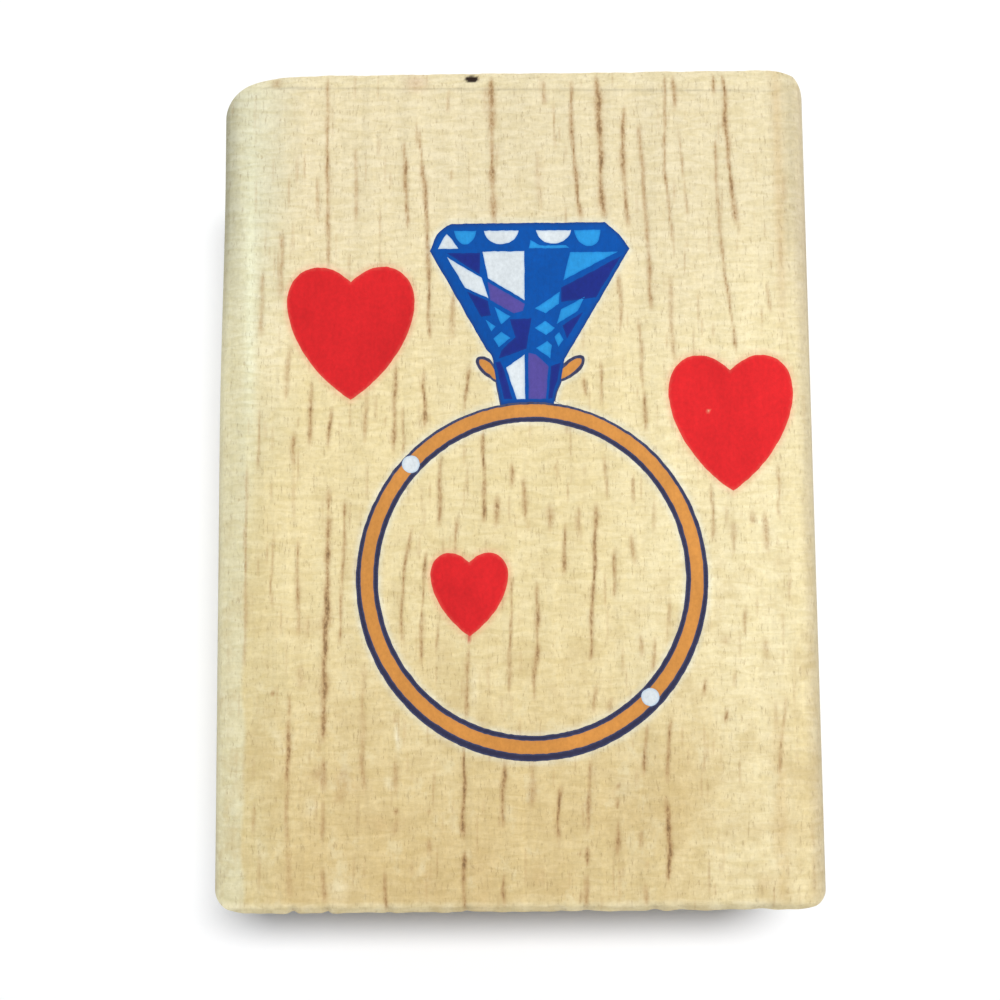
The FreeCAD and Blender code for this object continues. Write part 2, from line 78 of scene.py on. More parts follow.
# ---- what shows in the top of the wood, millimetres in plan ----
# brown grain streaks: strength, width, then points along the streak
STREAKS = (
    (0.7, 0.28, (-15.76, 35), (-15.72, 27), (-15.6, 18.3)),
    (0.5, 0.24, (-16.5, 26), (-16.5, 22)),
    (0.55, 0.26, (-13.35, 28.5), (-13.3, 22)),
    (0.8, 0.3, (-9.2, 29), (-8.95, 21.5)),
    (0.8, 0.3, (-7.9, 30), (-7.57, 26), (-7.3, 22), (-7.15, 17), (-7.2, 13.5), (-7.05, 11.9)),
    (0.5, 0.26, (-5.4, 33.5), (-5.4, 31.5)),
    (0.6, 0.24, (-5.2, 26.6), (-5.2, 25.6)),
    (0.85, 0.38, (-1.8, 34.7), (-1.75, 28), (-1.6, 21.8)),
    (0.3, 0.6, (-2.2, 34), (-2.2, 31)),
    (0.5, 0.3, (-19.5, 21.3), (-19.65, 15.6)),
    (0.25, 0.3, (-21.9, 33.5), (-21.9, 30)),
    (0.4, 0.9, (-20.1, 35), (-20.1, 33.8)),
    (0.22, 1.4, (-8.2, 35), (-8.2, 33.2)),
    (0.6, 0.3, (2.7, 34.5), (2.85, 32)),
    (0.45, 0.2, (3.5, 32.3), (3.7, 28.2)),
    (0.3, 0.3, (2.05, 28.4), (2.4, 22.7)),
    (0.8, 0.3, (5.1, 34.3), (5.05, 29.5), (5.3, 26.5), (5.5, 23.6), (5.75, 22)),
    (0.9, 0.38, (7.2, 34.8), (7.4, 30.8), (7.5, 24), (7.7, 22.2)),
    (0.8, 0.3, (9.5, 31.9), (9.35, 29.5), (9.5, 24), (9.75, 21.2)),
    (0.65, 0.3, (10.8, 30.3), (11, 25.5), (11.3, 20.5), (11.5, 17.4)),
    (0.85, 0.36, (11.5, 18.4), (11.35, 16), (11.5, 14.2)),
    (0.75, 0.2, (13.1, 34.8), (12.95, 30), (12.9, 26.3), (13.3, 21.7), (13.45, 20.1)),
    (0.75, 0.24, (13.75, 34.8), (13.8, 31.5)),
    (0.5, 0.2, (14.1, 30), (14.5, 25.7), (14.8, 21.9)),
    (0.8, 0.22, (17.2, 34.8), (17.2, 32.8)),
    (0.6, 0.26, (17.2, 29), (17.4, 21.3), (17.7, 16.5)),
    (0.85, 0.3, (18.1, 34.8), (18.15, 30), (18.6, 24), (18.9, 21.5)),
    (0.45, 0.3, (-21.1, 18), (-21.2, 15), (-21.3, 12.3)),
    (0.45, 0.32, (-18.75, 11.6), (-19, 9.5), (-19.15, 6.8)),
    (0.75, 0.28, (-17.05, 8.5), (-17.1, 6.5), (-17.15, 3)),
    (0.75, 0.28, (-15.3, 6.2), (-15.45, 4.3), (-15.6, 2.8)),
    (0.65, 0.28, (-12.4, 7.6), (-12.45, 5), (-12.5, 3.2)),
    (0.8, 0.3, (-9.9, 10), (-10, 7.5), (-10.1, 5.2), (-10.2, 2.3)),
    (0.7, 0.2, (-9.35, 6.2), (-9.4, 4.5), (-9.25, 3.4), (-9.35, 2.2)),
    (0.9, 0.3, (-7.6, 9.3), (-7.65, 8), (-7.45, 6.3), (-7.6, 4.4)),
    (0.8, 0.24, (-3.8, 9.6), (-3.9, 8.2), (-4.15, 6.6), (-4.3, 5.6)),
    (0.55, 0.3, (-5.1, 16), (-5.2, 13.4), (-5.1, 11.8)),
    (0.8, 0.3, (-18.45, 4.2), (-18.55, 2.9), (-18.45, 1.2)),
    (0.3, 0.3, (-18.45, 1.2), (-18.5, -3.5)),
    (0.45, 0.22, (-21.3, 6.4), (-21.4, 3), (-21.45, 1)),
    (0.5, 0.2, (-22.35, 1.4), (-22.35, -1), (-22.45, -8), (-22.4, -13), (-22.5, -15.5)),
    (0.8, 0.26, (-6.15, 2), (-6.3, 0.3), (-6.3, -1.5), (-6.4, -3.9)),
    (0.3, 0.3, (-4.25, 3.4), (-4.3, 1.2)),
    (0.9, 0.26, (-2.7, 4.2), (-2.75, 2.2), (-2.6, 0.8), (-2.65, -0.8), (-2.7, -3.6)),
    (0.8, 0.24, (-0.3, 1.4), (-0.25, 0.4), (-0.35, -0.7)),
    (0.6, 0.42, (-1.45, -1.2), (-1.5, -2.2), (-1.7, -4)),
    (0.6, 0.3, (-15.5, -0.6), (-15.55, -3)),
    (0.95, 0.36, (-15.55, -2.6), (-15.6, -7), (-15.7, -11), (-15.8, -14), (-15.85, -18),
     (-15.9, -21.3)),
    (0.65, 0.22, (-14.15, -1.6), (-14.2, -5), (-14.35, -7), (-14.6, -12), (-14.75, -13.6)),
    (0.65, 0.22, (-18.05, -4.8), (-18.15, -7.5), (-18.05, -9.5), (-18, -12.8)),
    (0.5, 0.24, (-20.1, -4.4), (-20.2, -6.7), (-20.3, -8.3), (-20.15, -10.4)),
    (0.3, 0.5, (-17.8, -15), (-17.8, -17.2)),
    (0.6, 0.22, (-18.8, -17.4), (-18.75, -19.5)),
    (0.35, 0.4, (-12.6, -15.2), (-12.7, -18), (-12.75, -22)),
    (0.85, 0.26, (-8.65, -3.9), (-8.95, -6), (-9.3, -7.2), (-9.4, -9), (-9.5, -11), (-9.45, -13.5)),
    (0.85, 0.2, (-7.5, -6), (-7.6, -8), (-7.75, -10), (-7.85, -12), (-7.95, -15.2)),
    (0.7, 0.2, (-6.6, -11.8), (-6.65, -14.2)),
    (0.6, 0.26, (-4.95, -3), (-5.05, -5), (-5.05, -6.2)),
    (0.75, 0.24, (-4, -13.6), (-4.05, -15), (-4.15, -17), (-4.25, -19.7)),
    (0.7, 0.26, (-0.4, -8), (-0.5, -10.5), (-0.55, -12.5), (-0.65, -14.5), (-0.75, -17.6)),
    (0.75, 0.34, (0.6, 0.2), (0.75, -1.5), (0.7, -3.5)),
    (0.7, 0.38, (2.75, -2.1), (2.8, -3.3), (2.75, -4.4)),
    (0.85, 0.26, (4.05, -3.7), (4, -5), (3.95, -6.5), (3.85, -8)),
    (0.65, 0.34, (5.2, -2.3), (5.15, -3.6), (5.3, -5)),
    (0.9, 0.28, (6.65, -2), (6.5, -4.5), (6.45, -7), (6.25, -9.5), (6.15, -12), (6.05, -15)),
    (0.8, 0.24, (8.15, -5.8), (8.1, -7.5), (8, -9.8)),
    (0.65, 0.28, (9.45, -4.6), (9.55, -6), (9.8, -7.2)),
    (0.75, 0.3, (1.65, -8.5), (1.6, -11), (1.75, -13.3), (1.55, -15), (1.35, -16.5), (1.3, -18.2)),
    (0.7, 0.32, (6.4, -17), (6.25, -18), (6.2, -19.2)),
    (0.7, 0.28, (7.65, -18), (7.55, -19.2)),
    (0.8, 0.26, (11.3, -13.2), (11.2, -14.5), (11, -16)),
    (0.55, 0.36, (10.1, -12.9), (10.2, -14.8)),
    (0.4, 0.3, (12.5, -11), (12.4, -12), (12.3, -13.5)),
    (0.65, 0.24, (16.15, -0.4), (16.25, -2.6), (16.2, -5.2)),
    (0.45, 0.32, (17.95, -3.6), (17.9, -5), (17.9, -6.7)),
    (0.6, 0.42, (19.5, -2.8), (19.6, -4)),
    (0.6, 0.36, (20.5, -2.9), (20.6, -4.2), (20.75, -6.4)),
    (0.5, 0.22, (21.75, 1.1), (21.8, -1), (21.65, -2.5), (21.85, -3.7)),
    (0.35, 0.24, (22.45, -7.9), (22.3, -9.2), (22.35, -10.5)),
    (0.7, 0.28, (18.8, -10.6), (18.65, -11.8), (18.65, -13)),
    (0.55, 0.5, (17.1, -13.2), (17.05, -13.7)),
    (0.45, 0.36, (20.3, -13.2), (20.45, -14.9)),
    (0.5, 0.26, (17.75, -15.9), (17.7, -17.3)),
    (0.7, 0.3, (15.4, -16.5), (15.2, -18)),
    (0.8, 0.26, (17.05, -19), (17, -20.2)),
    (0.5, 0.22, (21.9, -18), (21.75, -19.3), (21.5, -21), (21.15, -24.5)),
    (0.7, 0.3, (8.8, 17.6), (8.9, 15.5), (9, 14), (8.85, 12.3)),
    (0.5, 0.4, (13.1, 17.2), (13.2, 14.5), (13.25, 12.5), (13.4, 9.6)),
    (0.6, 0.22, (10.45, 13.5), (10.6, 11.5), (10.6, 9), (10.7, 7.3)),
    (0.85, 0.26, (10.7, 7.4), (10.8, 5.6), (10.95, 3.9)),
    (0.8, 0.2, (17.65, 17.8), (17.9, 15.8), (18.25, 13.5), (18.4, 11.8), (18.6, 10.4)),
    (0.7, 0.24, (21.3, 16.4), (21.4, 15.2), (21.6, 13.9)),
    (0.5, 0.24, (20.7, 14.4), (20.85, 12.9)),
    (0.6, 0.2, (7.15, 9.9), (7.2, 8), (7.25, 6)),
    (0.7, 0.22, (5.8, 8.7), (5.9, 6.9)),
    (0.6, 0.24, (7.3, 2.1), (7.45, 0.8), (7.6, -1.6)),
    (0.75, 0.26, (9.75, 0.3), (9.7, -0.8), (9.8, -2.1)),
    (0.5, 0.24, (4.25, 4.6), (4.3, 3.7)),
    (0.25, 0.34, (13.5, 3.2), (13.45, 1.4)),
    (0.9, 0.32, (-18.75, -19.5), (-18.8, -22), (-18.85, -24.8)),
    (0.6, 0.36, (-18.85, -24.8), (-18.95, -27), (-18.85, -29.9)),
    (0.4, 0.5, (-18.8, -29.5), (-18.6, -34)),
    (0.9, 0.38, (-15.9, -22.8), (-15.85, -24), (-15.9, -25.4)),
    (0.35, 1, (-16.3, -23.2), (-16.3, -24.8)),
    (0.55, 0.3, (-15.95, -26), (-15.95, -29.6)),
    (0.8, 0.36, (-15.95, -31.6), (-15.8, -34.2)),
    (0.65, 0.26, (-12.75, -20.8), (-12.7, -23), (-12.55, -25.4)),
    (0.4, 0.4, (-10, -22.2), (-9.95, -26)),
    (0.35, 0.5, (-10, -27.4), (-10.05, -29.2)),
    (0.9, 0.22, (-10.95, -31.7), (-11, -33.2), (-10.75, -35)),
    (0.7, 0.24, (-7.4, -29.2), (-7.25, -30.6)),
    (0.95, 0.26, (-4.5, -21.9), (-4.4, -24.5), (-4.6, -27.6), (-4.5, -29.3)),
    (0.95, 0.28, (-4.5, -30.2), (-4.5, -32), (-4.4, -35)),
    (0.8, 0.24, (-1.1, -23), (-1.25, -25.5), (-1.35, -28.5)),
    (0.75, 0.26, (-1.2, -32), (-1.3, -33.5), (-1.25, -34.7)),
    (0.45, 0.22, (-21.55, -26.2), (-21.6, -29.2)),
    (0.3, 0.9, (-14.3, -23.2), (-14.7, -26.6)),
    (0.5, 0.6, (1.05, -23), (1.05, -26.9)),
    (0.9, 0.3, (3.4, -25.1), (3.25, -26.8), (3.15, -28), (3.2, -29.5)),
    (0.75, 0.26, (5.9, -22.9), (5.7, -24.6), (5.6, -27), (5.5, -29)),
    (0.9, 0.24, (5.5, -30), (5.5, -31.5)),
    (0.9, 0.3, (5.45, -32.2), (5.45, -34.9)),
    (0.7, 0.24, (4.85, -33.4), (4.85, -34.5)),
    (0.85, 0.26, (8.2, -24.9), (7.95, -25.5)),
    (0.85, 0.26, (8, -26.2), (8, -26.9)),
    (0.8, 0.24, (8.05, -27.9), (8.05, -29.5), (7.9, -31)),
    (0.35, 0.24, (8, -31), (8, -34.6)),
    (0.85, 0.26, (12.45, -19.8), (12.2, -22), (12.05, -25)),
    (0.95, 0.28, (11.95, -26.1), (12.1, -27.5), (12.05, -29), (12.1, -30.5), (12, -32.8)),
    (0.8, 0.24, (10.45, -20.2), (10.25, -22.5), (10.2, -24.4)),
    (0.5, 0.32, (9.95, -28.7), (9.9, -30.2)),
    (0.35, 0.2, (15.2, -20), (15.15, -24.3)),
    (0.6, 0.3, (10.15, -32.9), (10.2, -34.7)),
)
# how many faint pores are scattered between them
DASHES = 420
# round dark pores: strength, radius, middle
PORES = (
    (0.8, 0.18, (-20.1, -17.45)),
    (0.9, 0.2, (-10.05, -19.6)),
    (1, 0.2, (-10, -27)),
    (0.9, 0.16, (16.2, -31.85)),
    (0.8, 0.14, (4.9, -30.45)),
    (0.7, 0.14, (-9.5, -1.6)),
    (0.6, 0.14, (3.3, 0.9)),
    (0.6, 0.16, (-7.3, -27)),
    (0.6, 0.14, (14.85, 14.6)),
    (0.5, 0.14, (-22.4, -14.6)),
)
# broad stains: strength, half width, half length, middle
STAINS = (
    (0.3, 1.2, 0.8, (-11.5, -28)),
    (0.28, 1, 1.4, (1.6, -32.3)),
    (0.25, 0.9, 1.2, (19.7, -33.4)),
    (0.22, 2.4, 0.7, (-17.8, -12)),
    (0.2, 1.6, 1, (-13.6, -25)),
    (0.2, 1.4, 1.2, (-7.3, -32.6)),
    (0.2, 2.2, 0.6, (21, -28.7)),
    (0.18, 1.2, 3, (-3, -33)),
    (0.2, 1, 2, (3.4, -32.6)),
)
# pale scuffs: strength, half width, half length, turn from the grain in degrees, middle
SCUFFS = (
    (1, 0.18, 0.85, 8, (-9.9, -21.1)),
    (0.5, 0.3, 0.5, 20, (-10.6, -24.8)),
    (0.45, 0.5, 0.6, 0, (-17, -26.6)),
    (0.4, 0.3, 0.7, 30, (-19.6, -21.2)),
    (0.55, 0.14, 0.8, -64, (20.9, -31.05)),
    (0.4, 0.35, 1.8, 0, (-3.6, -17.2)),
    (0.45, 1.5, 4.5, 0, (-20.3, 11)),
    (0.4, 0.9, 0.9, 0, (-14.6, -33.2)),
    (0.4, 0.7, 0.7, 0, (8.6, -25.4)),
)
KNOT = (-3.43, 34.59, 0.6, 0.38)
# bare specks in the print, with their radius
FLECKS = ((16.12, 5.6, 0.09),)
# notches torn out of the near edge where pores reach it: middle, half width, depth
CHIPS = (
    (-18.4, 0.28, 0.4),
    (-15.6, 0.26, 0.34),
    (-10.6, 0.36, 0.2),
    (-4.3, 0.3, 0.22),
    (3.3, 0.45, 0.18),
    (5.4, 0.5, 0.2),
    (11.0, 0.6, 0.26),
    (13.2, 0.5, 0.16),
    (16.6, 0.7, 0.16),
    (19.6, 1.1, 0.18),
)

# middle of the tree behind the end grain, turned round in sign, and the growth rings' scale
PITH = (-14.0, 0.0, 52.0)
RING_SCALE = 0.11

# ---- colours, as sRGB ----
# light that falls on the floor, where 1 turns a perfect white to full white
LIGHT_LEVEL = 1.12
WOOD_FAR = (236, 222, 183)
WOOD_MIDDLE = (239, 222, 172)
WOOD_MIDDLE_RIGHT = (248, 233, 186)
WOOD_NEAR = (223, 199, 145)
WOOD_LEFT = (218, 217, 188)
WOOD_LEFT_NEAR = (222, 206, 156)
WOOD_RIGHT = (249, 235, 190)
STRIP = (224, 220, 186)
HEART_HALO = (240, 160, 130)
BLEED = (190, 34, 38)
LINE_HALO = (232, 236, 224)
HALO_WIDTH = 0.3
SCUFF_TONE = (250, 240, 205)
# shares of the wood's red, green and blue left in the planer's ripple: painted shade in its troughs, painted
# highlight on its crests
RIPPLE_TROUGH_SHADE = (0.93, 0.905, 0.83, 1.0)
RIPPLE_CREST_HIGHLIGHT = (1.05, 1.05, 1.07, 1.0)
STREAK_TONE = (182, 142, 94)
PORE_TONE = (96, 68, 40)
STAIN_TONE = (196, 160, 104)
ROUGH_TONE = (204, 178, 122)
BLEACHED_TONE = (246, 234, 192)
# painted highlight on the end bevels
BEVEL_HIGHLIGHT = (244, 232, 192)
# painted highlight where the left edge starts to roll
PAINTED_HIGHLIGHT_STRIPE = (250, 250, 216)
FAR_RIGHT_STRIPE = (224, 202, 158)
NEAR_RIGHT_STRIPE = (230, 204, 152)
# painted shade on the right rolled edge
RIGHT_ROLL_SHADE = (205, 188, 164)
PINK_MARK = (226, 188, 172)
KNOT_TONE = (46, 32, 24)
SAWN_DARK, SAWN_PALE, SAWN_RING = (180, 142, 92), (226, 198, 146), (158, 116, 70)
FOAM_WALL, FOAM_CELL = (186, 188, 192), (140, 142, 147)
FILM_DARK, FILM_PALE = (214, 196, 148), (232, 220, 184)
RUBBER_DARK, RUBBER_PALE, RUBBER_STAIN = (166, 62, 50), (190, 82, 66), (58, 26, 44)


class Ink(NamedTuple):
    """A printed colour: its tone, slot and height above the wood, its rim, and the spacing of its points."""

    tone: tuple
    slot: str
    lift: float
    rim_tone: tuple
    rim_share: float
    rim_width: float
    pitch: float = 0.15


# the outline and the royal blue are the two under-layers, so they stand lowest
INKS = {
    "ink_red_hearts": Ink((226, 40, 44), "print_red", 0.014, (236, 120, 100), 0.3, 0.12, 0.24),
    "ink_gold_band": Ink((219, 149, 74), "print_gold", 0.02, (190, 130, 84), 0.3, 0.1, 0.24),
    "ink_outline": Ink((54, 53, 80), "print_outline", 0.012, (92, 102, 138), 0.5, 0.08),
    "ink_royal_blue": Ink((12, 84, 170), "print_royal_blue", 0.012, (30, 62, 128), 0.7, 0.22),
    "ink_indigo": Ink((34, 48, 134), "print_indigo", 0.02, (24, 70, 150), 0.4, 0.1),
    "ink_sky_blue": Ink((46, 155, 226), "print_sky_blue", 0.02, (20, 110, 195), 0.5, 0.1),
    "ink_violet": Ink((92, 80, 160), "print_violet", 0.02, (50, 80, 165), 0.4, 0.1),
    "ink_white": Ink((226, 233, 236), "print_white", 0.028, (150, 190, 225), 0.5, 0.1),
}
# how far a film reaches down into the wood, and the spacing of points along its outline
FILM_FOOT = 0.004
OUTLINE_PITCH = 0.14
# the printed ring's height over its width
RING_TALLER = 1.02
# how far the print is nudged from the plan: the stem's foot, its right leaf, its left leaf, the gem's table
FOOT_NUDGE, RIGHT_LEAF_NUDGE, LEFT_LEAF_NUDGE, TABLE_NUDGE = -0.62, -0.37, 0.3, -0.22
# a facet or a glint whose middle is nearer than this belongs to the ring, and stays put
GEM_FOOT = 6.0

# ---- relief of the wood, and wear, in millimetres ----
STREAK_DEPTH, KNOT_DEPTH, PLANED_DEPTH, TORN_DEPTH = 0.045, 0.06, 0.004, 1.4
MOST_PLANED, MOST_WORN = 0.03, 0.3
FOAM_PINCH, FOAM_ROUGH, FOAM_INSET = 0.22, 0.05, 0.02
DIE_ROUNDING = 0.06

# ---- studio: light, floor and camera ----
SKY_TONE, SKY_STRENGTH = (0.95, 0.985, 1.04, 1.0), 0.32
# metres and watts
KEY_WIDE, KEY_DEEP, KEY_AWAY, KEY_POWER = 0.27, 0.12, 0.8, 5.3
KEY_FROM = (0.11, 0.19, 1.0)
FLOOR_RADIUS, FLOOR_Z, FLOOR_RINGS, FLOOR_SPOKES = 2.5, -0.0002, 10, 64
FLOOR_DARK, FLOOR_PALE = (0.955, 0.96, 0.965, 1.0), (0.97, 0.97, 0.975, 1.0)
# degrees, then millimetres
CAMERA_ELEVATION, CAMERA_AZIMUTH, CAMERA_ROLL = 84.1014, 4.5487, -5.0932
CAMERA_AWAY, CAMERA_AIM = 124.3493, (-1.3233, -1.7021, TOP_Z)
CAMERA_LENS, CAMERA_SENSOR = 54.0, 36.0


# ---- numbers ----
def linear(colour):
    """Share of light a surface gives back, from the sRGB colour it shows under the studio light."""
    c = np.asarray(colour, float) / 255
    return np.where(c <= 0.04045, c / 12.92, ((c + 0.055) / 1.055) ** 2.4) / LIGHT_LEVEL


def soft_noise(seed, *coords, waves=9):
    """Smooth noise, about -1 to 1, from sine waves in random directions; coordinates are in wavelengths."""
    rng = np.random.default_rng(seed)
    total = 0.0
    for _ in range(waves):
        direction = rng.normal(size=len(coords))
        phase = rng.uniform(0, 2 * math.pi)
        total = total + np.sin(sum(d * c for d, c in zip(direction, coords)) * 2 * math.pi + phase)
    return total / math.sqrt(waves)


def smooth_step(low, high, value):
    """0 below low, 1 above high, smooth in between."""
    t = np.clip((value - low) / (high - low), 0, 1)
    return t * t * (3 - 2 * t)


def bell(value, middle, width):
    """Bell curve, 1 at its middle."""
    return np.exp(-(((value - middle) / width) ** 2))


def smooth_max(a, b, width):
    """The larger of two, rounded where they cross."""
    return np.maximum(a, b) + np.maximum(width - np.abs(a - b), 0) ** 2 / (4 * width)


# ---- the top of the wood ----
def streak_field(x, y):
    """How brown the wood is at each point, 0 to about 1."""
    total = np.zeros_like(x)
    for index, (strength, width, *points) in enumerate(STREAKS):
        line = np.array(points)[::-1]
        near = (y > line[0, 1] - 1) & (y < line[-1, 1] + 1)
        near &= (x > line[:, 0].min() - 3 * width) & (x < line[:, 0].max() + 3 * width)
        px, py = x[near], y[near]
        middle = np.interp(py, line[:, 1], line[:, 0]) + 0.05 * soft_noise(index, py / 5.0)
        reach = 0.55 * width * (1 + 0.3 * soft_noise(100 + index, py / 4.0))
        across = bell(px, middle, reach) + 0.16 * bell(px, middle, 2.8 * reach)
        end = min(0.9, (line[-1, 1] - line[0, 1]) / 3)
        along = smooth_step(line[0, 1] - end / 2, line[0, 1] + end, py)
        along *= smooth_step(-line[-1, 1] - end / 2, -line[-1, 1] + end, -py)
        beads = 0.85 + 0.16 * soft_noise(200 + index, py / 3.5)
        total[near] = np.maximum(total[near], strength * across * along * beads)
    for strength, radius, (mx, my) in PORES:
        total = np.maximum(total, strength * np.exp(-(((x - mx) ** 2 + (y - my) ** 2) / radius**2)))
    return total


def dash_field(x, y):
    """Faint short pores scattered over the whole top."""
    rng = np.random.default_rng(17)
    total = np.zeros_like(x)
    for _ in range(DASHES):
        mx, my = rng.uniform(-24, 24), rng.uniform(-HALF_Y, HALF_Y)
        strength = rng.uniform(0.12, 0.42)
        half_x, half_y = rng.uniform(0.07, 0.14), rng.uniform(0.35, 1.5)
        near = (np.abs(x - mx) < 4 * half_x) & (np.abs(y - my) < 2 * half_y)
        across = bell(x[near], mx, half_x)
        along = np.exp(-(((y[near] - my) / half_y) ** 4))
        total[near] = np.maximum(total[near], strength * across * along)
    return total


def stain_field(x, y):
    """Broad brown stains."""
    total = np.zeros_like(x)
    for strength, half_x, half_y, (mx, my) in STAINS:
        distance = ((x - mx) / half_x) ** 2 + ((y - my) / half_y) ** 2
        total += strength * np.exp(-distance) * (1 + 0.5 * soft_noise(31, x / 3, y / 3))
    return total


def scuff_field(x, y):
    """Pale rubbed places."""
    total = np.zeros_like(x)
    for strength, half_x, half_y, turn, (mx, my) in SCUFFS:
        angle = math.radians(turn)
        across = (x - mx) * math.cos(angle) + (y - my) * math.sin(angle)
        along = (y - my) * math.cos(angle) - (x - mx) * math.sin(angle)
        total += strength * np.exp(-((across / half_x) ** 2) - (along / half_y) ** 2)
    return total


def knot_field(x, y):
    """The small dark knot on the far bevel."""
    mx, my, half_x, half_y = KNOT
    return 1 - smooth_step(0.7, 1.25, ((x - mx) / half_x) ** 2 + ((y - my) / half_y) ** 2)


def chip_field(x):
    """How deep the near edge is torn at each x."""
    total = np.zeros_like(x)
    for middle, half, depth in CHIPS:
        total = np.maximum(total, depth * bell(x, middle, half))
    return total


def wood_drop(x, y):
    """How far the top lies below its highest level: rounded sides, bevelled ends, chips, open grain."""
    over = np.clip(np.abs(x) - (HALF_X - TOP_RADIUS), 0, TOP_RADIUS)
    side = TOP_RADIUS - np.sqrt(TOP_RADIUS**2 - over**2)
    far = (y - (HALF_Y - FAR_RUN)) * FAR_DROP / FAR_RUN
    near = (-y - (HALF_Y - NEAR_RUN)) * NEAR_DROP / NEAR_RUN
    torn = chip_field(x) * smooth_step(HALF_Y - 0.9, HALF_Y, -y)
    drop = smooth_max(side, smooth_max(smooth_max(far, near, ARRIS), 0.0, ARRIS), ARRIS) - ARRIS / 4
    drop = np.maximum(drop, 0) + TORN_DEPTH * torn
    grain = STREAK_DEPTH * streak_field(x, y) + KNOT_DEPTH * knot_field(x, y)
    planed = PLANED_DEPTH * (1 + soft_noise(5, x / 12, y / 1.1))
    planed = planed + PLANED_DEPTH * (1 + soft_noise(6, x / 0.8, y / 14))
    return drop + grain + np.clip(planed, 0, MOST_PLANED)


def wood_height(x, y):
    return TOP_Z - wood_drop(np.asarray(x, float), np.asarray(y, float))


def wall_reach(z):
    """Half width of the moulding at a height: flat walls, a finger groove, a small radius at the foot."""
    if abs(z - GROOVE_Z) < GROOVE_HALF:
        return HALF_X - GROOVE_DEPTH + GROOVE_RADIUS - math.sqrt(GROOVE_RADIUS**2 - (z - GROOVE_Z) ** 2)
    if z < FOOT_Z + FOOT_RADIUS:
        rise = FOOT_Z + FOOT_RADIUS - z
        return HALF_X - FOOT_RADIUS + math.sqrt(max(FOOT_RADIUS**2 - rise**2, 0))
    return HALF_X


def edge_wear(x, side):
    """How far the sawn end is worn back at each x."""
    wear = 0.03 * (1 + soft_noise(41 + side, x / 1.7)) + 0.02 * (1 + soft_noise(51 + side, x / 6))
    if side < 0:
        wear = wear + 0.35 * chip_field(x)
    return np.clip(wear, 0, MOST_WORN)


def plan_point(x, y):
    """Bends a rectangle's lattice to the block's plan, with its rounded corners and worn ends."""
    x = np.array(x, float)
    y = np.array(y, float)
    for side_x, side_y, reach_x, reach_y in CORNERS:
        a = (side_x * x - (HALF_X - reach_x)) / reach_x
        b = (side_y * y - (HALF_Y - reach_y)) / reach_y
        at = (a > 0) & (b > 0)
        bent_a = a * np.sqrt(1 - np.clip(b, 0, 1) ** 2 / 2)
        bent_b = b * np.sqrt(1 - np.clip(a, 0, 1) ** 2 / 2)
        x[at] = side_x * (HALF_X - reach_x + reach_x * bent_a[at])
        y[at] = side_y * (HALF_Y - reach_y + reach_y * bent_b[at])
    x += SANDED * smooth_step(0, 26, y) * smooth_step(HALF_X - 4, HALF_X, -x)
    for side in (-1, 1):
        past = side * y - (HALF_Y - NEAR_RUN)
        at = past > 0
        y[at] -= side * (past * edge_wear(x, side) / NEAR_RUN)[at]
    return x, y


def lattice_lines():
    """Where the top's columns and rows lie before the corners are bent."""
    turn = np.linspace(0, math.pi / 2, 9)[1:]
    flat = HALF_X - TOP_RADIUS
    right = flat + TOP_RADIUS * np.sin(turn)
    columns = np.concatenate([-right[::-1], np.linspace(-flat, flat, 311), right])
    rows = np.concatenate(
        [
            np.linspace(-HALF_Y, -HALF_Y + NEAR_RUN, 5)[:-1],
            np.linspace(-HALF_Y + NEAR_RUN, -HALF_Y + 1.6, 6)[:-1],
            np.linspace(-HALF_Y + 1.6, HALF_Y - 2.4, 174)[:-1],
            np.linspace(HALF_Y - 2.4, HALF_Y - FAR_RUN, 9)[:-1],
            np.linspace(HALF_Y - FAR_RUN, HALF_Y, 7),
        ]
    )
    return columns, rows


def wall_levels():
    """Heights of the rings of points down the sides."""
    spread = math.asin(GROOVE_HALF / GROOVE_RADIUS)
    shoulder = np.linspace(TOP_Z - TOP_RADIUS - 0.25, GROOVE_Z + GROOVE_HALF, 6)
    groove = GROOVE_Z + GROOVE_RADIUS * np.sin(np.linspace(spread, -spread, 11)[1:])
    skirt = np.linspace(GROOVE_Z - GROOVE_HALF, FOOT_Z + FOOT_RADIUS, 5)[1:]
    foot = FOOT_Z + FOOT_RADIUS * (1 - np.sin(np.linspace(0, math.pi / 2, 5)[1:]))
    return np.concatenate([shoulder, groove, skirt, foot])


def show(name, data):
    """A new object in the scene."""
    shown = bpy.data.objects.new(name, data)
    bpy.context.scene.collection.objects.link(shown)
    return shown


def new_piece(name, points, faces, node, material, sharp=35.0):
    """A piece in millimetres that stands for a CAD node."""
    mesh = bpy.data.meshes.new(name)
    mesh.from_pydata((np.asarray(points) * MM).tolist(), [], faces)
    mesh.validate()
    mesh.shade_smooth()
    mesh.set_sharp_from_angle(angle=math.radians(sharp))
    mesh.materials.append(material)
    piece = show(name, mesh)
    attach(piece, "root")
    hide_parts(node)
    return piece


def add_values(piece, name, values):
    """Number at each point, for the material to read."""
    layer = piece.data.attributes.new(name, "FLOAT", "POINT")
    layer.data.foreach_set("value", np.asarray(values, np.float32))


def add_colours(piece, name, colours):
    """Colour at each point, for the material to read."""
    layer = piece.data.attributes.new(name, "FLOAT_COLOR", "POINT")
    values = np.ones((len(colours), 4), np.float32)
    values[:, :3] = colours
    layer.data.foreach_set("color", values.ravel())


